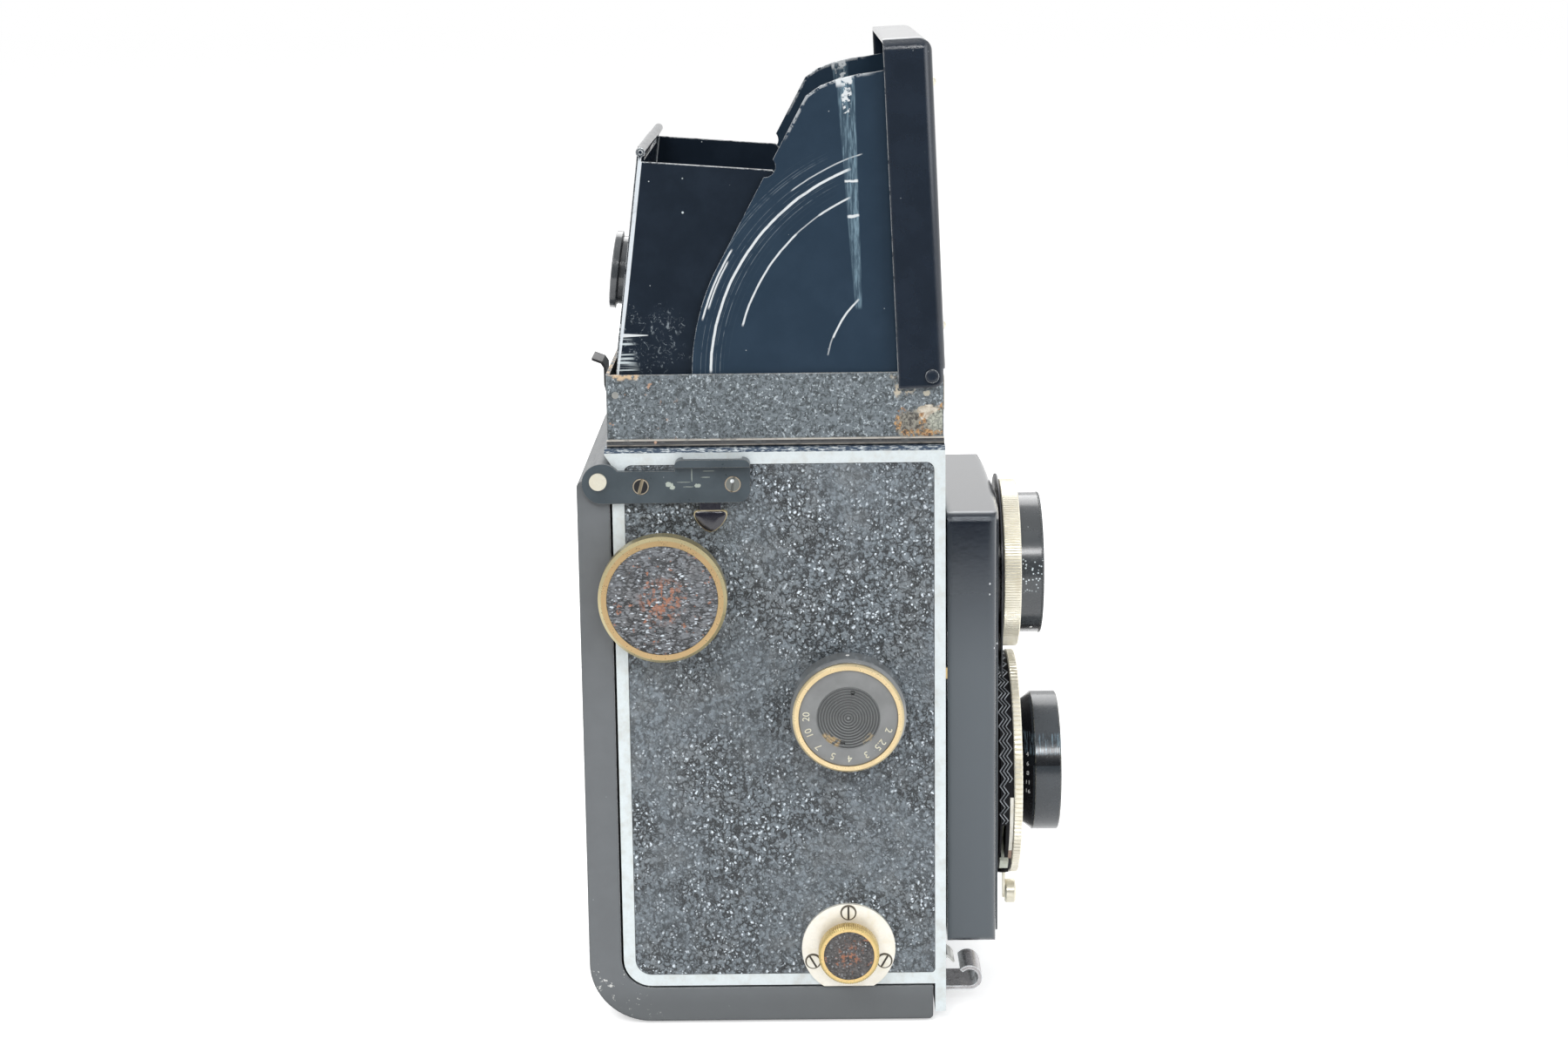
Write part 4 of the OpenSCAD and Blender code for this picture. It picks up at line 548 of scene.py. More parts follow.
def filled_screws(s):
    """The rear screw is black with a clogged slot; the front one has a painted highlight on its crown."""
    rear, front, slot_angle = (-25.95, 107.5), (-8.6, 107.8), 75
    radius, angle = s.polar(*rear)
    off_angle = s.math("MULTIPLY", s.math("SUBTRACT", angle, slot_angle), math.pi / 180)
    off_slot = s.math("MULTIPLY", radius, s.math("ABSOLUTE", s.math("SINE", off_angle)))
    off_slot = s.band(off_slot, 0.22, 0.36)
    lay_wear_and_light(s, s.both(off_slot, s.near(radius, 0, 1.25, 0.12)), (0.008, 0.008, 0.01))
    lay_wear_and_light(s, s.both(s.band(off_slot, 0, 1, 1, 0), s.near(radius, 0, 1.6, 0.1)), (0.3, 0.25, 0.17))
    for screw in (rear, front):
        radius, _ = s.polar(*screw)
        lay_wear_and_light(s, s.near(radius, 1.5, 0.1, 0.1), (0.4, 0.33, 0.24))
    # Painted highlight: a bright dot on the front screw's crown
    radius, _ = s.polar(-8.7, 108.4)
    lay_wear_and_light(s, s.near(radius, 0, 0.25, 0.2), WHITE_WEAR_AND_GLINT)


filled_screws(screw_paint)


def base_crinkle():
    """Crinkle paint with fine pale flecks, brass through at one end and rust at the other."""
    s = Shade("hood_crinkle")
    wrinkle = s.noise(1.35, 3, 0.6, warp=1.2)
    fine = s.noise(3.2, 4)
    s.tone = s.mix(s.band(wrinkle, 0.36, 0.62), (0.045, 0.055, 0.06), (0.165, 0.195, 0.215))
    s.tone = s.mix(s.math("MULTIPLY", s.band(s.noise(1.9, 2, 0.5), 0.6, 0.68), 0.7), s.tone, (0.5, 0.56, 0.6))
    s.rough = s.band(fine, 0.3, 0.7, 0.35, 0.6)
    s.set(base_color=s.tone, roughness=s.rough, normal=s.bump(s.math("ADD", wrinkle, fine), 0.12))
    # Covering torn off the front corner: a pale flap, bare metal and rust round its rim
    torn = s.both(s.either(s.blot(28.3, 118.6, 4.4, 3.3, 0.6, 0.5), s.blot(24.5, 118.2, 2.6, 2.4, 0.8, 0.6)),
                  s.band(s.xyz("z"), 115.8, 116), s.facing("y"))
    tint = s.mix(s.band(s.noise(1.1, 4, 0.7), 0.4, 0.6), (0.05, 0.045, 0.04), (0.26, 0.25, 0.21))
    lay_wear_and_light(s, torn, tint, rough=0.5)
    pale = s.both(torn, s.blot(30.2, 119.0, 2.0, 2.2, 1.2, 1.6))
    tint = s.mix(s.band(s.noise(2.2, 3, 0.7), 0.4, 0.6), (0.2, 0.21, 0.18), (0.42, 0.43, 0.36))
    lay_wear_and_light(s, pale, tint, rough=0.5)
    flap = s.either(s.blot(28.2, 121.0, 2.1, 1.0, 0.5, 0.8), s.blot(27.6, 120.2, 1.1, 1.2, 0.5, 0.8))
    flap = s.both(flap, s.facing("y"))
    tint = s.mix(s.band(s.noise(1.2, 4, 0.7), 0.4, 0.65), (0.6, 0.55, 0.46), (0.36, 0.31, 0.24))
    lay_wear_and_light(s, flap, tint, rough=0.5)
    rim = s.either(
        s.blot(23.6, 120.9, 0.9, 0.8), s.blot(22.7, 118.4, 0.7, 1.4), s.blot(27.3, 118.9, 0.8, 1.5),
        s.blot(30.8, 121.6, 0.8, 0.7), s.blot(27, 116.6, 4.2, 0.8))
    tint = s.mix(s.band(s.noise(2.0, 3), 0.4, 0.6), (0.22, 0.11, 0.05), (0.5, 0.3, 0.13))
    lay_wear_and_light(s, s.both(rim, s.facing("y"), s.band(s.noise(1.5, 4, 0.7), 0.45, 0.56)), tint, rough=0.6)
    lay_wear_and_light(s, s.both(s.blot(28.2, 124.1, 0.7, 0.5), s.facing("y")), (0.45, 0.42, 0.34))
    # The bead along the foot is smooth; the pale lines along it are painted highlights, partly wear, and the
    # dark line is painted shade
    side = s.band(s.math("ABSOLUTE", s.xyz("y")), BASE_SIDE_Y, BASE_SIDE_Y + 0.08)
    foot = s.both(side, s.band(s.xyz("z"), BEAD_Z, BEAD_Z - 0.1, 0, 1))
    lay_wear_and_light(s, foot, (0.075, 0.078, 0.08), rough=0.35)
    for level, half, tint in ((115.78, 0.07, (0.5, 0.47, 0.42)), (115.45, 0.12, (0.012, 0.012, 0.014)),
                              (114.85, 0.08, (0.34, 0.31, 0.27))):
        mark = s.both(foot, s.near(s.xyz("z"), level, half, 0.08), s.band(s.noise(0.4, 3), 0.3, 0.5, 0.4, 1))
        lay_wear_and_light(s, mark, tint)
    bare = s.both(s.box(22.5, 25.5, 124.0, 126.6, 0.8), s.facing("y"), s.band(s.noise(1.2, 3), 0.48, 0.56))
    lay_wear_and_light(s, bare, (0.5, 0.44, 0.34))
    top = s.both(s.box(-33, -27, 128.4, 129.9, 0.8), s.band(s.noise(0.8, 3), 0.46, 0.54))
    lay_wear_and_light(s, top, (0.62, 0.46, 0.3), 0.4)
    spot = s.both(s.box(-31, -22, 117, 127, 2), s.band(s.noise(0.55, 3), 0.62, 0.67))
    lay_wear_and_light(s, spot, (0.4, 0.25, 0.17))
    return edge_wear_and_glint(s, 0.22, (0.62, 0.6, 0.56), 0.03, 0.16, 0.9)


crinkle = base_crinkle()
leather = leather_shade("body_leather", 0.92, (0.168, 0.197, 0.22), flow=(1, 1, 0.9))
disc_leather = leather_shade(
    "winding_leather", 0.8, (0.172, 0.184, 0.2), 0.85, (0.6, 1, 1.3), (WIND[0], WIND[2], 5.5, 0.8))
small_leather = leather_shade(
    "feed_leather", 0.75, (0.11, 0.105, 0.105), 0.55, (1, 1, 1), (FEED[0], FEED[2], 3, 0.8))

# Metals
frame_metal = metal_shade("frame_metal", (0.7, 0.76, 0.775), 0.42, (0.46, 0.45, 0.4), 0.4, 0.3, 0.012)
# Painted reflection: dark blue, broken along the bevel of the casting's top edge
reflection_streaks = frame_metal.noise(1.0, 4, 0.6, vec=frame_metal.stretch(0.9, 1, 5))
reflection_streaks = frame_metal.band(reflection_streaks, 0.36, 0.52, 0.2, 1)
edge = frame_metal.band(frame_metal.xyz("z"), DECK_EDGE_Z, DECK_EDGE_Z + 0.12)
edge = frame_metal.both(edge, reflection_streaks)
lay_wear_and_light(frame_metal, edge, (0.035, 0.06, 0.1))
nickel = metal_shade("ivory_nickel", (0.88, 0.84, 0.7), 0.3, (0.62, 0.54, 0.36), 0.35, 0.55)
flange_metal = metal_shade("flange_nickel", (0.9, 0.87, 0.79), 0.3, (0.7, 0.62, 0.42), 0.3, 0.4)
steel = metal_shade("steel", (0.55, 0.56, 0.54), 0.32, (0.24, 0.21, 0.16), 0.5)
brass = metal_shade("worn_brass", (0.74, 0.55, 0.27), 0.3, (0.42, 0.26, 0.13), 0.5, 0.7)
screw_circle = 7.4
screw_rims = []
for a in (math.radians(d) for d in (90, 200, 340)):
    from_screw, _ = flange_metal.polar(
        FEED[0] + screw_circle * math.cos(a), FEED[2] + screw_circle * math.sin(a))
    screw_rims.append(flange_metal.near(from_screw, 1.42, 0.1, 0.12))
lay_wear_and_light(flange_metal, flange_metal.either(*screw_rims), (0.1, 0.085, 0.06))
flange_screw = metal_shade("flange_screw_nickel", (0.86, 0.84, 0.76), 0.3, (0.6, 0.52, 0.36), 0.4, 0.4)
# Painted shade at the bottoms of the slots and low round each screw head
slot_shade = flange_screw.math("ABSOLUTE", flange_screw.xyz("y"))
slot_shade = flange_screw.band(slot_shade, SCREW_HEAD_Y, SCREW_HEAD_Y + 0.13, 1, 0)
lay_wear_and_light(flange_screw, slot_shade, (0.06, 0.052, 0.04))
latch_metal = metal_shade("latch_chrome", (0.42, 0.41, 0.42), 0.2, (0.16, 0.14, 0.13), 0.5, 0.9)
# Painted highlights: pale bluish edges on the latch, over its edge wear
latch_metal = edge_wear_and_glint(latch_metal, 0.4, (0.8, 0.85, 0.88), 0.02, 0.12)
blade_metal = metal_shade("blade_steel", (0.1, 0.105, 0.11), 0.35, (0.05, 0.05, 0.05), 0.4, 0.6)
lever_nickel = metal_shade("lever_nickel", (0.62, 0.65, 0.56), 0.35, (0.4, 0.38, 0.28), 0.4, 0.5)


def ringed(name, x, z, steps):
    """Brass whose tint changes outwards from an axis."""
    s = metal_shade(name, (0.62, 0.47, 0.25), 0.27, (0.45, 0.25, 0.13), 0.5, 0.7)
    radius, _ = s.polar(x, z)
    for low, high, color in steps:
        lay_wear_and_light(s, s.math("MULTIPLY", s.near(radius, (low + high) / 2, (high - low) / 2, 0.12), 0.8), color)
    return s


wind_brass = ringed(
    "winding_brass", WIND[0], WIND[2], ((11.55, 12.4, (0.42, 0.38, 0.22)), (10.3, 11.45, (0.52, 0.36, 0.18))))
focus_brass = ringed(
    "focusing_brass", FOCUS[0], FOCUS[2], ((10.25, 10.8, (0.5, 0.43, 0.27)), (9.3, 10.2, (0.78, 0.62, 0.36))))


def dial_shade():
    """Grey dial face, its turned grooves darker, with brass showing low down."""
    s = paint("dial_grey", (0.2, 0.205, 0.205), 0.34, 0.2, 0.004)
    radius, angle = s.polar(FOCUS[0], FOCUS[2])
    inner = s.band(radius, 6.0, 6.2, 1, 0)
    groove_pitch = 0.53
    wave = s.math("SINE", s.math("MULTIPLY", radius, 2 * math.pi / groove_pitch))
    turned_face = s.math("MULTIPLY", inner, 0.85)
    lay_wear_and_light(s, turned_face, s.mix(s.band(wave, -0.5, 0.6), (0.02, 0.022, 0.024), (0.2, 0.21, 0.21)))
    for r, half, turn, spread, soft, bare, strength, color in (
        (5.3, 0.6, -128, 14, 8, 0.42, 0.7, (0.5, 0.36, 0.18)),
        (5.5, 0.5, -48, 9, 6, 0.45, 0.5, (0.5, 0.4, 0.24)),
    ):
        low = s.both(s.near(radius, r, half, 0.3), s.near(angle, turn, spread, soft),
                     s.band(s.noise(1.2, 3), bare, bare + 0.1))
        lay_wear_and_light(s, s.math("MULTIPLY", low, strength), color, 0.3)
    return s


dial = dial_shade()
glass = Shade("lens_glass").set(base_color=(0.9, 0.93, 1), roughness=0.02, transmission_weight=1, ior=1.5)
ground = Shade("ground_glass").set(base_color=(0.8, 0.82, 0.82), roughness=0.5, transmission_weight=0.8)
silvered = Shade("silvered").set(base_color=(0.85, 0.87, 0.9), metallic=1, roughness=0.05)
ruby = Shade("ruby_glass").set(base_color=(0.5, 0.01, 0.01), roughness=0.1, transmission_weight=0.6)

# A shade for each material slot of the record, and for the nodes that have one of their own
SLOTS = {
    "aluminium": frame_metal, "leather": leather, "black_enamel": satin, "black_paint": satin,
    "crinkle": crinkle, "nickel": nickel, "steel": steel, "brass": brass, "dial_grey": dial,
    "spool_paint": satin, "glass": glass, "ground_glass": ground, "mirror": silvered, "ruby_glass": ruby,
}
FINISH = {
    "lid": lid_paint, "lid_wings": wing_paint, "rear_wall": wall_paint, "back_cover": cover_paint,
    "hinge_arms": arm_paint, "shield_tabs": tab_paint, "lens_standard": standard_paint,
    "standard_plate": standard_paint, "view_flange": plate_paint, "view_barrel": barrel_paint,
    "take_barrel": hood_paint, "focus_knob": skirt_paint, "feed_flange": flange_metal,
    "flange_screws": flange_screw, "wind_leather": disc_leather, "feed_leather": small_leather,
    "wind_knob": wind_brass, "focus_rim": focus_brass, "aperture_lever": lever_nickel,
    "magnifier_arm": wall_paint, "magnifier_ring": magnifier_paint, "lid_pivots": lid_paint,
    "arm_screws": screw_paint, "shutter_housing": housing_paint, "hinge_rivets": nickel,
    "light_box": satin, "back_latch": latch_metal, "shutter_blades": blade_metal,
}
SLOT_OF = {p["node"]: p["material_slot"] for p in frame["record"]["subparts"]}


def dress(obj, shade):
    obj.data.materials.clear()
    obj.data.materials.append(shade.mat)


for name, obj in nodes.items():
    dress(obj, FINISH.get(name) or SLOTS[SLOT_OF[name]])


# ------------------------------------------------------------ detailed pieces
def new_piece(name, bm, shade, body, slot, *replaced):
    """A finished piece in model millimetres: shaded, riding on its body."""
    bmesh.ops.recalc_face_normals(bm, faces=bm.faces)
    bmesh.ops.scale(bm, vec=(MM, MM, MM), verts=bm.verts)
    mesh = bpy.data.meshes.new(name)
    bm.to_mesh(mesh)
    bm.free()
    obj = bpy.data.objects.new(name, mesh)
    scene.collection.objects.link(obj)
    mesh.materials.append(shade.mat)
    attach(obj, body)
    if replaced:
        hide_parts(*replaced)
    return obj


def bridge(bm, a, b):
    """Faces between two closed rings."""
    for k in range(len(a)):
        n = (k + 1) % len(a)
        bm.faces.new((a[k], a[n], b[n], b[k]))


def skin(bm, rings):
    """A closed solid through neighbouring rings."""
    for a, b in zip(rings, rings[1:]):
        bridge(bm, a, b)
    bm.faces.new(rings[0])
    bm.faces.new(rings[-1])


def turned(bm, axis, origin, profile, teeth, cut, depth):
    """Revolves a closed profile of (along, radius) about X or Y, the points in cut grooved at each tooth."""
    steps = teeth * 4
    rings = []
    for i in range(steps):
        turn = 2 * math.pi * i / steps
        ring = []
        for k, (along, radius) in enumerate(profile):
            if k in cut and i % 4 == 0:
                radius -= depth
            if axis == "x":
                at = (along, radius * math.cos(turn), radius * math.sin(turn))
            else:
                at = (radius * math.cos(turn), -along, radius * math.sin(turn))
            ring.append(bm.verts.new([a + b for a, b in zip(origin, at)]))
        rings.append(ring)
    for a, b in zip(rings, rings[1:] + rings[:1]):
        bridge(bm, a, b)


def smooth_by_angle(obj, degrees):
    for poly in obj.data.polygons:
        poly.use_smooth = True
    obj.data.set_sharp_from_angle(angle=math.radians(degrees))
    return obj


def knurled_ring(name, node, shade, body, slot, inner, teeth, depth):
    """A ring about X standing for a node, with cross grooves over its rim."""
    (x0, _, z0), (x1, _, z1) = [[v / MM for v in corner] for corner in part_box(node)]
    outer, mid = (z1 - z0) / 2, (z1 + z0) / 2
    wide, edge = x1 - x0, 0.2
    profile = [
        (0, inner), (0, outer - edge), (edge, outer),
        (wide - edge, outer), (wide, outer - edge), (wide, inner),
    ]
    bm = bmesh.new()
    turned(bm, "x", (x0, 0, mid), profile, teeth, (1, 2, 3, 4), depth)
    return smooth_by_angle(new_piece(name, bm, shade, body, slot, node), 25)


ring_grooved = metal_shade("knurled_nickel", (0.9, 0.86, 0.73), 0.3, (0.62, 0.54, 0.36), 0.3, 0.5)
knurled_ring("viewing_ring_knurled", "view_ring", ring_grooved, "lens_front", "nickel", 12.9, 190, 0.16)
knurled_ring("shutter_ring_knurled", "shutter_ring", ring_grooved, "speed_ring", "nickel", 21.42, 144, 0.26)

bm = bmesh.new()
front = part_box("view_barrel")[1][0] / MM
rim_profile = [(0, 14.0), (0, 14.28), (0.12, 14.34), (0.4, 14.34), (0.5, 14.2), (0.5, 14.0)]
turned(bm, "x", (front - 0.5, 0, VIEW[2]), rim_profile, 165, (1, 2, 3, 4), 0.13)
smooth_by_angle(new_piece("viewing_rim_teeth", bm, barrel_paint, "lens_front", "black_paint"), 25)


def pull_knob(name, node, shade, body):
    """The pull knob standing for its node, its upper edge milled."""
    low, high = [[v / MM for v in corner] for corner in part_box(node)]
    x, z, r = (low[0] + high[0]) / 2, (low[2] + high[2]) / 2, (high[0] - low[0]) / 2
    top = max(abs(low[1]), abs(high[1]))
    foot = min(abs(low[1]), abs(high[1]))
    profile = [
        (foot, 0.05), (foot, 1.8), (foot + 0.5, 2.2), (top - 3.8, 2.2), (top - 3.8, 3.6),
        (top - 2.9, 3.6), (top - 2.9, r - 0.3), (top - 2.6, r), (top - 0.35, r), (top, r - 0.35),
        (top, r - 1), (top - 0.8, r - 1), (top - 0.8, 0.05),
    ]
    bm = bmesh.new()
    turned(bm, "y", (x, 0, z), profile, 84, (7, 8), 0.16)
    return smooth_by_angle(new_piece(name, bm, shade, body, "brass", node), 25)


feed_brass = ringed(
    "feed_brass", FEED[0], FEED[2], ((4.9, 5.4, (0.78, 0.56, 0.24)), (5.4, 6.0, (0.62, 0.48, 0.2))))
pull_knob("feed_knob_milled", "feed_knob", feed_brass, "feed_pull")

# Zigzag ribs round the shutter's drum, from beside the scale strip to the far side
DRUM_R = 22.5
WAVE = 7.64  # degrees for one zigzag
RIB_FROM, RIB_TO = 73, 308  # degrees from straight down towards the near side
RIB_SWING = 0.52
RIB_HALF = 0.17
RIB_HEIGHT = 0.2
ZIGZAG = (0, 0.5, 1, 0.5, 0, -0.5, -1, -0.5)
bm = bmesh.new()
for x, start in ((43.55, RIB_FROM), (44.25, RIB_FROM), (44.95, RIB_FROM + 3 * WAVE)):
    rows = []
    for step in range(int((RIB_TO - start) / WAVE * len(ZIGZAG))):
        around = math.radians(start + step * WAVE / len(ZIGZAG))
        at = x + RIB_SWING * ZIGZAG[step % len(ZIGZAG)]
        row = []
        for dx, r in ((-RIB_HALF, DRUM_R - 0.05), (0, DRUM_R + RIB_HEIGHT), (RIB_HALF, DRUM_R - 0.05)):
            row.append(bm.verts.new((at + dx, -r * math.sin(around), TAKE[2] - r * math.cos(around))))
        rows.append(row)
    skin(bm, rows)
new_piece("drum_chevrons", bm, drum_paint, "lens_front", "black_paint")


def drum_band(name, shade, start, stop, lift):
    """A thin strip on the drum, from start to stop degrees from straight down towards the near side."""
    x0, x1 = 45.1, 45.78
    bm = bmesh.new()
    rows = []
    for step in range(25):
        around = math.radians(start + (stop - start) * step / 24)
        row = []
        for x, r in ((x0, DRUM_R - 0.1), (x0, DRUM_R + lift), (x1, DRUM_R + lift), (x1, DRUM_R - 0.1)):
            row.append(bm.verts.new((x, -r * math.sin(around), TAKE[2] - r * math.cos(around))))
        rows.append(row)
    for a, b in zip(rows, rows[1:]):
        for k in range(3):
            bm.faces.new((a[k], a[k + 1], b[k + 1], b[k]))
    bm.faces.new(rows[0])
    bm.faces.new(rows[-1])
    return new_piece(name, bm, shade, "lens_front", "nickel")


cream = metal_shade("scale_cream", (0.88, 0.86, 0.78), 0.35, (0.6, 0.5, 0.32), 0.4, 0.2)
drum_band("scale_strip", cream, 54, 88, 0.07)
copper = metal_shade("scale_copper", (0.36, 0.25, 0.19), 0.4, (0.2, 0.12, 0.08), 0.6, 0.4)
drum_band("scale_strip_worn", copper, 46, 54, 0.05)


def figures(name, marks, shade, body, slot):
    """Painted figures: marks are (text, size, matrix), each laid flat in its own XY."""
    bm = bmesh.new()
    for text, size, place in marks:
        curve = bpy.data.curves.new(name + "_font", "FONT")
        curve.body = text
        curve.size = size * MM
        curve.align_x = "CENTER"
        curve.align_y = "CENTER"
        curve.extrude = 0.02 * MM
        curve.resolution_u = 3
        obj = bpy.data.objects.new(name + "_font", curve)
        mesh = obj.to_mesh()
        mesh.transform(Matrix.Scale(1 / MM, 4))
        mesh.transform(place)
        bm.from_mesh(mesh)
        obj.to_mesh_clear()
        bpy.data.objects.remove(obj)
        bpy.data.curves.remove(curve)
    return new_piece(name, bm, shade, body, slot)


figure_cream = metal_shade("figure_cream", (0.7, 0.68, 0.54), 0.4, (0.45, 0.36, 0.22), 0.6, 0.2)
figure_white = metal_shade("figure_white", (0.85, 0.86, 0.84), 0.45, (0.5, 0.5, 0.46), 0.3, 0.0)
# Distances on the focusing knob: plain numbers in place of the words that the photograph shows
face_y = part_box("focus_disc")[0][1] / MM
FIGURE_CIRCLE = 7.95
marks = []
for k, label in enumerate(("2", "2.5", "3", "4", "5", "7", "10", "20")):
    round_by = math.radians(-18 - 23.5 * k)
    out = Vector((math.cos(round_by), 0, math.sin(round_by)))
    across = Vector((math.sin(round_by), 0, -math.cos(round_by)))
    place = Matrix((across, out, across.cross(out))).transposed().to_4x4()
    place.translation = Vector((FOCUS[0], face_y - 0.015, FOCUS[2])) + out * FIGURE_CIRCLE
    marks.append((label, 1.9, place))
figures("focus_figures", marks, figure_cream, "focusing", "nickel")

# Apertures on the cone at the rear of the taking lens hood
marks = []
slope = math.atan2(14.05 - 12.3, 3.1 - 0.8)
cone_x, cone_r = 49.35, 13.2
for k, label in enumerate(("4", "6", "8", "11", "16")):
    up = math.radians(22 - 8.3 * k)
    normal = Vector((-math.sin(slope), -math.cos(slope) * math.cos(up), math.cos(slope) * math.sin(up)))
    along = Vector((math.cos(slope), -math.sin(slope) * math.cos(up), math.sin(slope) * math.sin(up)))
    place = Matrix((along, normal.cross(along), normal)).transposed().to_4x4()
    on_cone = Vector((cone_x, -cone_r * math.cos(up), TAKE[2] + cone_r * math.sin(up)))
    place.translation = on_cone + normal * 0.03
    marks.append((label, 1.25, place))
figures("aperture_figures", marks, figure_white, "lens_front", "nickel")


def shield_piece():
    """The domed tabs under the hinge arms: a rounded shield on a short neck, brass at its rim."""
    low, high = [[v / MM for v in corner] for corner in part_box("shield_tabs")]
    x, z, y = (low[0] + high[0]) / 2, low[2] + 2.75, high[1]
    half = [(1.0, -2.35), (2.1, -1.4), (2.85, -0.3), (3.2, 0.6), (3.1, 1.2), (2.5, 1.5)]
    outline = [(0, -2.75)] + half + [(-a, b) for a, b in reversed(half)]
    bm = bmesh.new()
    for side in (-1, 1):
        rings = []
        for scale, lift in ((1, 1.5), (1, 0.42), (0.93, 0.2), (0.75, 0.07), (0.45, 0.0)):
            at_y = side * (y - lift)
            rings.append([bm.verts.new((x + a * scale, at_y, z + b * scale)) for a, b in outline])
        skin(bm, rings)
        corners = ((-2, z + 1.2), (2, z + 1.2), (2, high[2]), (-2, high[2]))
        skin(bm, [[bm.verts.new((x + a, side * (y - d), b)) for a, b in corners] for d in (1.5, 0.5)])
    domed = new_piece("shield_tabs_domed", bm, tab_paint, "camera_body", "black_paint", "shield_tabs")
    return smooth_by_angle(domed, 50)


def back_panel(y1, z0, z1, corner, proud):
    """The leather on the back, which the photograph doesn't show: a thin sheet with a rolled edge."""
    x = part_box("back_cover")[0][0] / MM
    rings = []
    bm = bmesh.new()
    for inset, out in ((0, -0.1), (0, proud * 0.5), (0.2, proud), (1.2, proud)):
        ring = []
        for cy, cz, turn in ((y1, z1, 0), (-y1, z1, 90), (-y1, z0, 180), (y1, z0, 270)):
            for step in range(9):
                way = math.radians(turn + 90 / 8 * step)
                r = corner - inset
                at_y = cy - math.copysign(corner, cy) + r * math.cos(way)
                at_z = cz + (corner if cz == z0 else -corner) + r * math.sin(way)
                ring.append(bm.verts.new((x - out, at_y, at_z)))
        rings.append(ring)
    skin(bm, rings)
    return smooth_by_angle(new_piece("back_leather", bm, leather, "back", "leather"), 50)


back_panel(33.5, 13, 99, corner=5, proud=0.3)

# Brass at the rims of the shield tabs
tab_rim = tab_paint.band(tab_paint.math("ABSOLUTE", tab_paint.xyz("y")), 38.42, 38.52, 1, 0)
tab_rim = tab_paint.both(tab_rim, tab_paint.band(tab_paint.xyz("z"), 102.9, 102.7))
lay_wear_and_light(tab_paint, tab_rim, (0.62, 0.52, 0.3), 0.5)
shield_piece()


def stud(bm, at, out, radius, height):
    """A low round dot standing on a surface."""
    spin = Vector(out).to_track_quat("Z", "Y").to_matrix().to_4x4()
    spin.translation = Vector(at)
    turns = [2 * math.pi * step / 16 for step in range(16)]
    rings = []
    for r, h in ((radius, -0.1), (radius, height * 0.5), (radius * 0.7, height * 0.9)):
        rings.append([bm.verts.new(spin @ Vector((r * math.cos(a), r * math.sin(a), h))) for a in turns])
    skin(bm, rings)


# White dots on top of the focusing knob and low on the viewing barrel's near side
bm = bmesh.new()
stud(bm, (FOCUS[0], -39.9, FOCUS[2] + 11.1), (0, 0, 1), 0.36, 0.1)
new_piece("focus_index_dot", bm, figure_white, "focusing", "nickel")
bm = bmesh.new()
tilt = math.radians(53.5)
outward = (0, -math.cos(tilt), -math.sin(tilt))
barrel_r = 14.25
stud(bm, (50.2, barrel_r * outward[1], VIEW[2] + barrel_r * outward[2]), outward, 0.3, 0.08)
new_piece("viewing_index_dot", bm, figure_white, "lens_front", "nickel")


# ------------------------------------------------------------ stage and light
def ray_level(tree, parts):
    """The highest of the given Light Path outputs."""
    path = tree.nodes.new("ShaderNodeLightPath")
    level = path.outputs[parts[0]]
    for part in parts[1:]:
        node = tree.nodes.new("ShaderNodeMath")
        node.operation = "MAXIMUM"
        tree.links.new(level, node.inputs[0])
        tree.links.new(path.outputs[part], node.inputs[1])
        level = node.outputs[0]
    return level


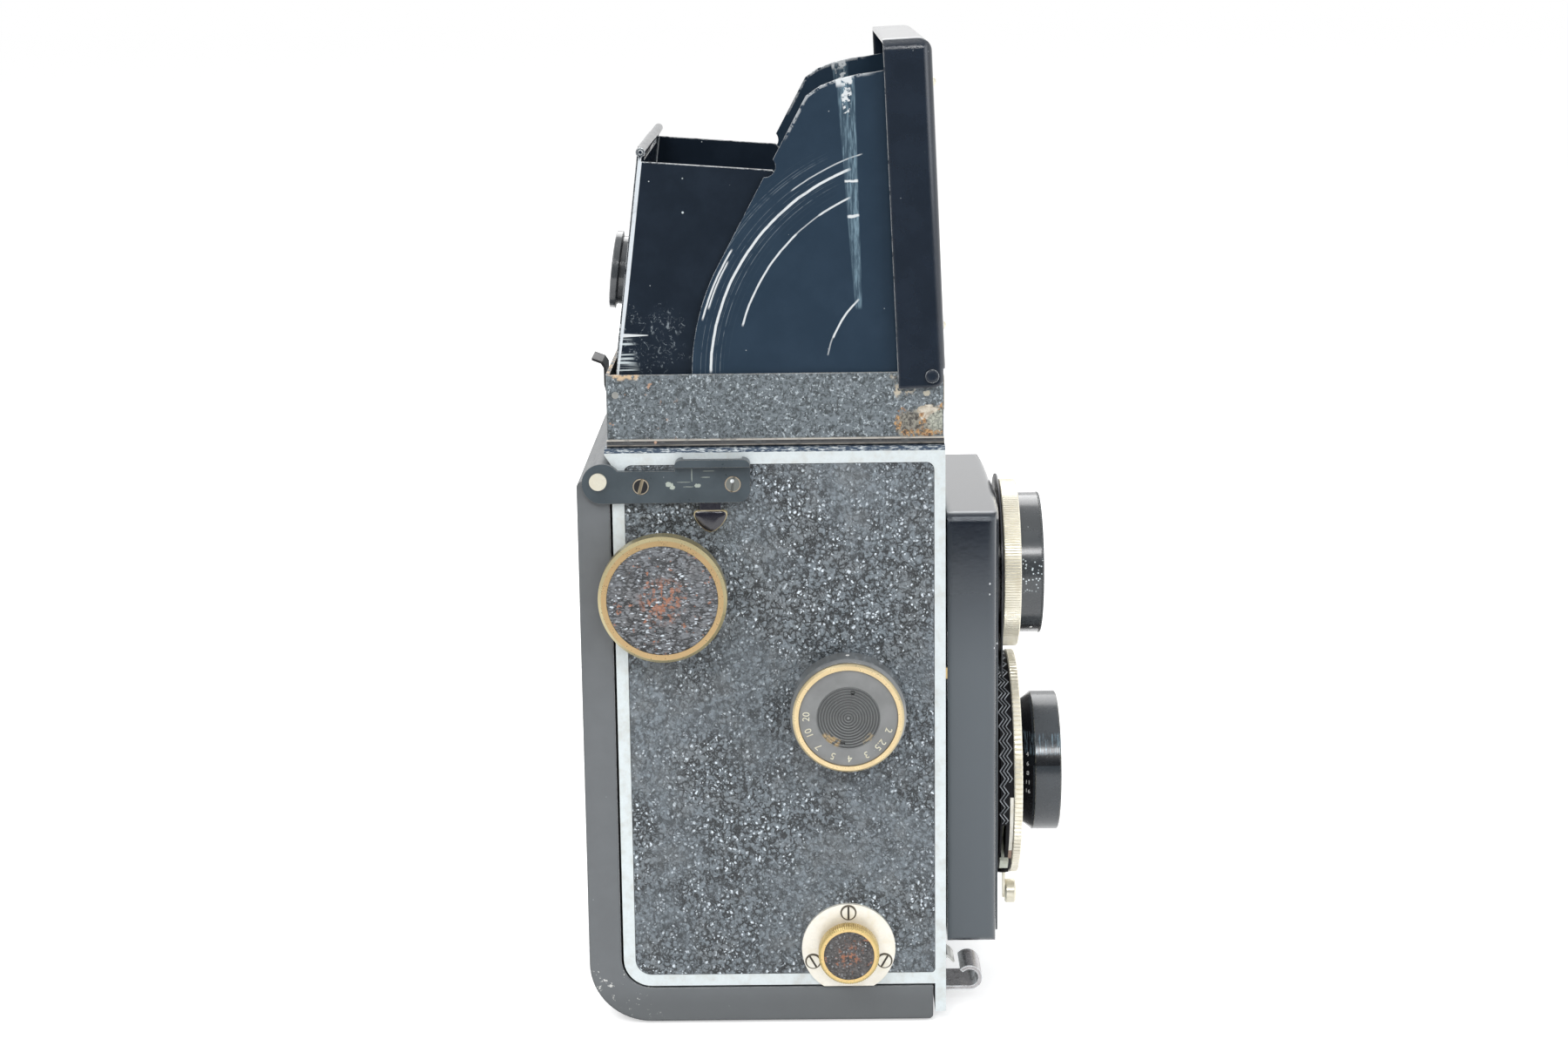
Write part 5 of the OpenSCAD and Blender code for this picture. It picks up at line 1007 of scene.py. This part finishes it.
def look_stage():
    """A white floor that keeps its shadow, and a white room that is darker only in reflections."""
    mesh = bpy.data.meshes.new("floor")
    mesh.from_pydata([(-4, -0.42, 0), (4, -0.42, 0), (4, 6, 0), (-4, 6, 0)], [], [(0, 1, 2, 3)])
    floor = bpy.data.objects.new("floor", mesh)
    floor.location.z = cad_box[0][2]
    scene.collection.objects.link(floor)
    mat = bpy.data.materials.new("floor_white")
    mat.use_nodes = True
    tree = mat.node_tree
    tree.nodes.clear()
    out = tree.nodes.new("ShaderNodeOutputMaterial")
    add = tree.nodes.new("ShaderNodeAddShader")
    diffuse = tree.nodes.new("ShaderNodeBsdfDiffuse")
    diffuse.inputs[0].default_value = (0.8, 0.8, 0.8, 1)
    glow = tree.nodes.new("ShaderNodeEmission")
    level = tree.nodes.new("ShaderNodeMath")
    level.operation = "MULTIPLY"
    level.inputs[1].default_value = 0.5
    rays = ("Is Camera Ray", "Is Transmission Ray", "Is Glossy Ray")
    tree.links.new(ray_level(tree, rays), level.inputs[0])
    tree.links.new(level.outputs[0], glow.inputs[1])
    tree.links.new(diffuse.outputs[0], add.inputs[0])
    tree.links.new(glow.outputs[0], add.inputs[1])
    tree.links.new(add.outputs[0], out.inputs[0])
    mesh.materials.append(mat)
    world = bpy.data.worlds.new("studio")
    scene.world = world
    world.use_nodes = True
    tree = world.node_tree
    back = tree.nodes["Background"]
    # The room behind the camera is darker than the tent round the object
    coord = tree.nodes.new("ShaderNodeTexCoord")
    split = tree.nodes.new("ShaderNodeSeparateXYZ")
    tree.links.new(coord.outputs["Generated"], split.inputs[0])
    room = tree.nodes.new("ShaderNodeMapRange")
    room.interpolation_type = "SMOOTHSTEP"
    tree.links.new(split.outputs[1], room.inputs["Value"])
    for key, value in (("From Min", -0.8), ("From Max", -0.35), ("To Min", 0.1), ("To Max", 1.0)):
        room.inputs[key].default_value = value
    glossy = tree.nodes.new("ShaderNodeMath")
    glossy.operation = "MULTIPLY"
    tree.links.new(room.outputs[0], glossy.inputs[0])
    tree.links.new(ray_level(tree, ("Is Glossy Ray",)), glossy.inputs[1])
    seen = tree.nodes.new("ShaderNodeMath")
    seen.operation = "MAXIMUM"
    tree.links.new(glossy.outputs[0], seen.inputs[0])
    tree.links.new(ray_level(tree, ("Is Camera Ray", "Is Transmission Ray")), seen.inputs[1])
    plain = tree.nodes.new("ShaderNodeMix")
    tree.links.new(ray_level(tree, ("Is Diffuse Ray",)), plain.inputs[0])
    plain.inputs[3].default_value = 0.62
    tree.links.new(seen.outputs[0], plain.inputs[2])
    tree.links.new(plain.outputs[0], back.inputs[1])
    back.inputs[0].default_value = (1, 1, 1, 1)


def area(name, at, aim, size, power, color=(1, 1, 1)):
    """A rectangular lamp at a place, aimed at a point."""
    light = bpy.data.lights.new(name, "AREA")
    light.shape = "RECTANGLE"
    light.size, light.size_y = size
    light.energy = power
    light.color = color
    obj = bpy.data.objects.new(name, light)
    obj.location = at
    obj.rotation_euler = (Vector(aim) - Vector(at)).to_track_quat("-Z", "Y").to_euler()
    scene.collection.objects.link(obj)


look_stage()
area("key", (-0.5, -0.9, 1.1), (0, 0, 0.09), (0.7, 0.7), 9)
area("fill", (0.9, -0.7, 0.5), (0, 0, 0.09), (0.6, 0.9), 4, (0.93, 0.96, 1))
area("back", (0.0, 0.9, 0.9), (0, 0, 0.09), (1.4, 0.8), 10)
area("front", (0.17, -1.2, 0.78), (0.05, 0, 0.07), (0.26, 0.2), 3.0)

# Fitted to the photograph's framing with a small shift, so that the other views show the hood whole
camera_data = bpy.data.cameras.new("camera")
camera_data.lens = 61.1414
camera_data.sensor_width = 36
camera_data.shift_x = 0.00351
camera_data.shift_y = -0.04
camera_data.clip_start = 0.01
camera_data.clip_end = 20
camera = bpy.data.objects.new("camera", camera_data)
camera.location = (0.00519, -0.52933, 0.20884)
camera.rotation_euler = [math.radians(a) for a in (78.95258, 0.74415, 0.45149)]
scene.collection.objects.link(camera)
scene.camera = camera

bpy.context.view_layer.update()
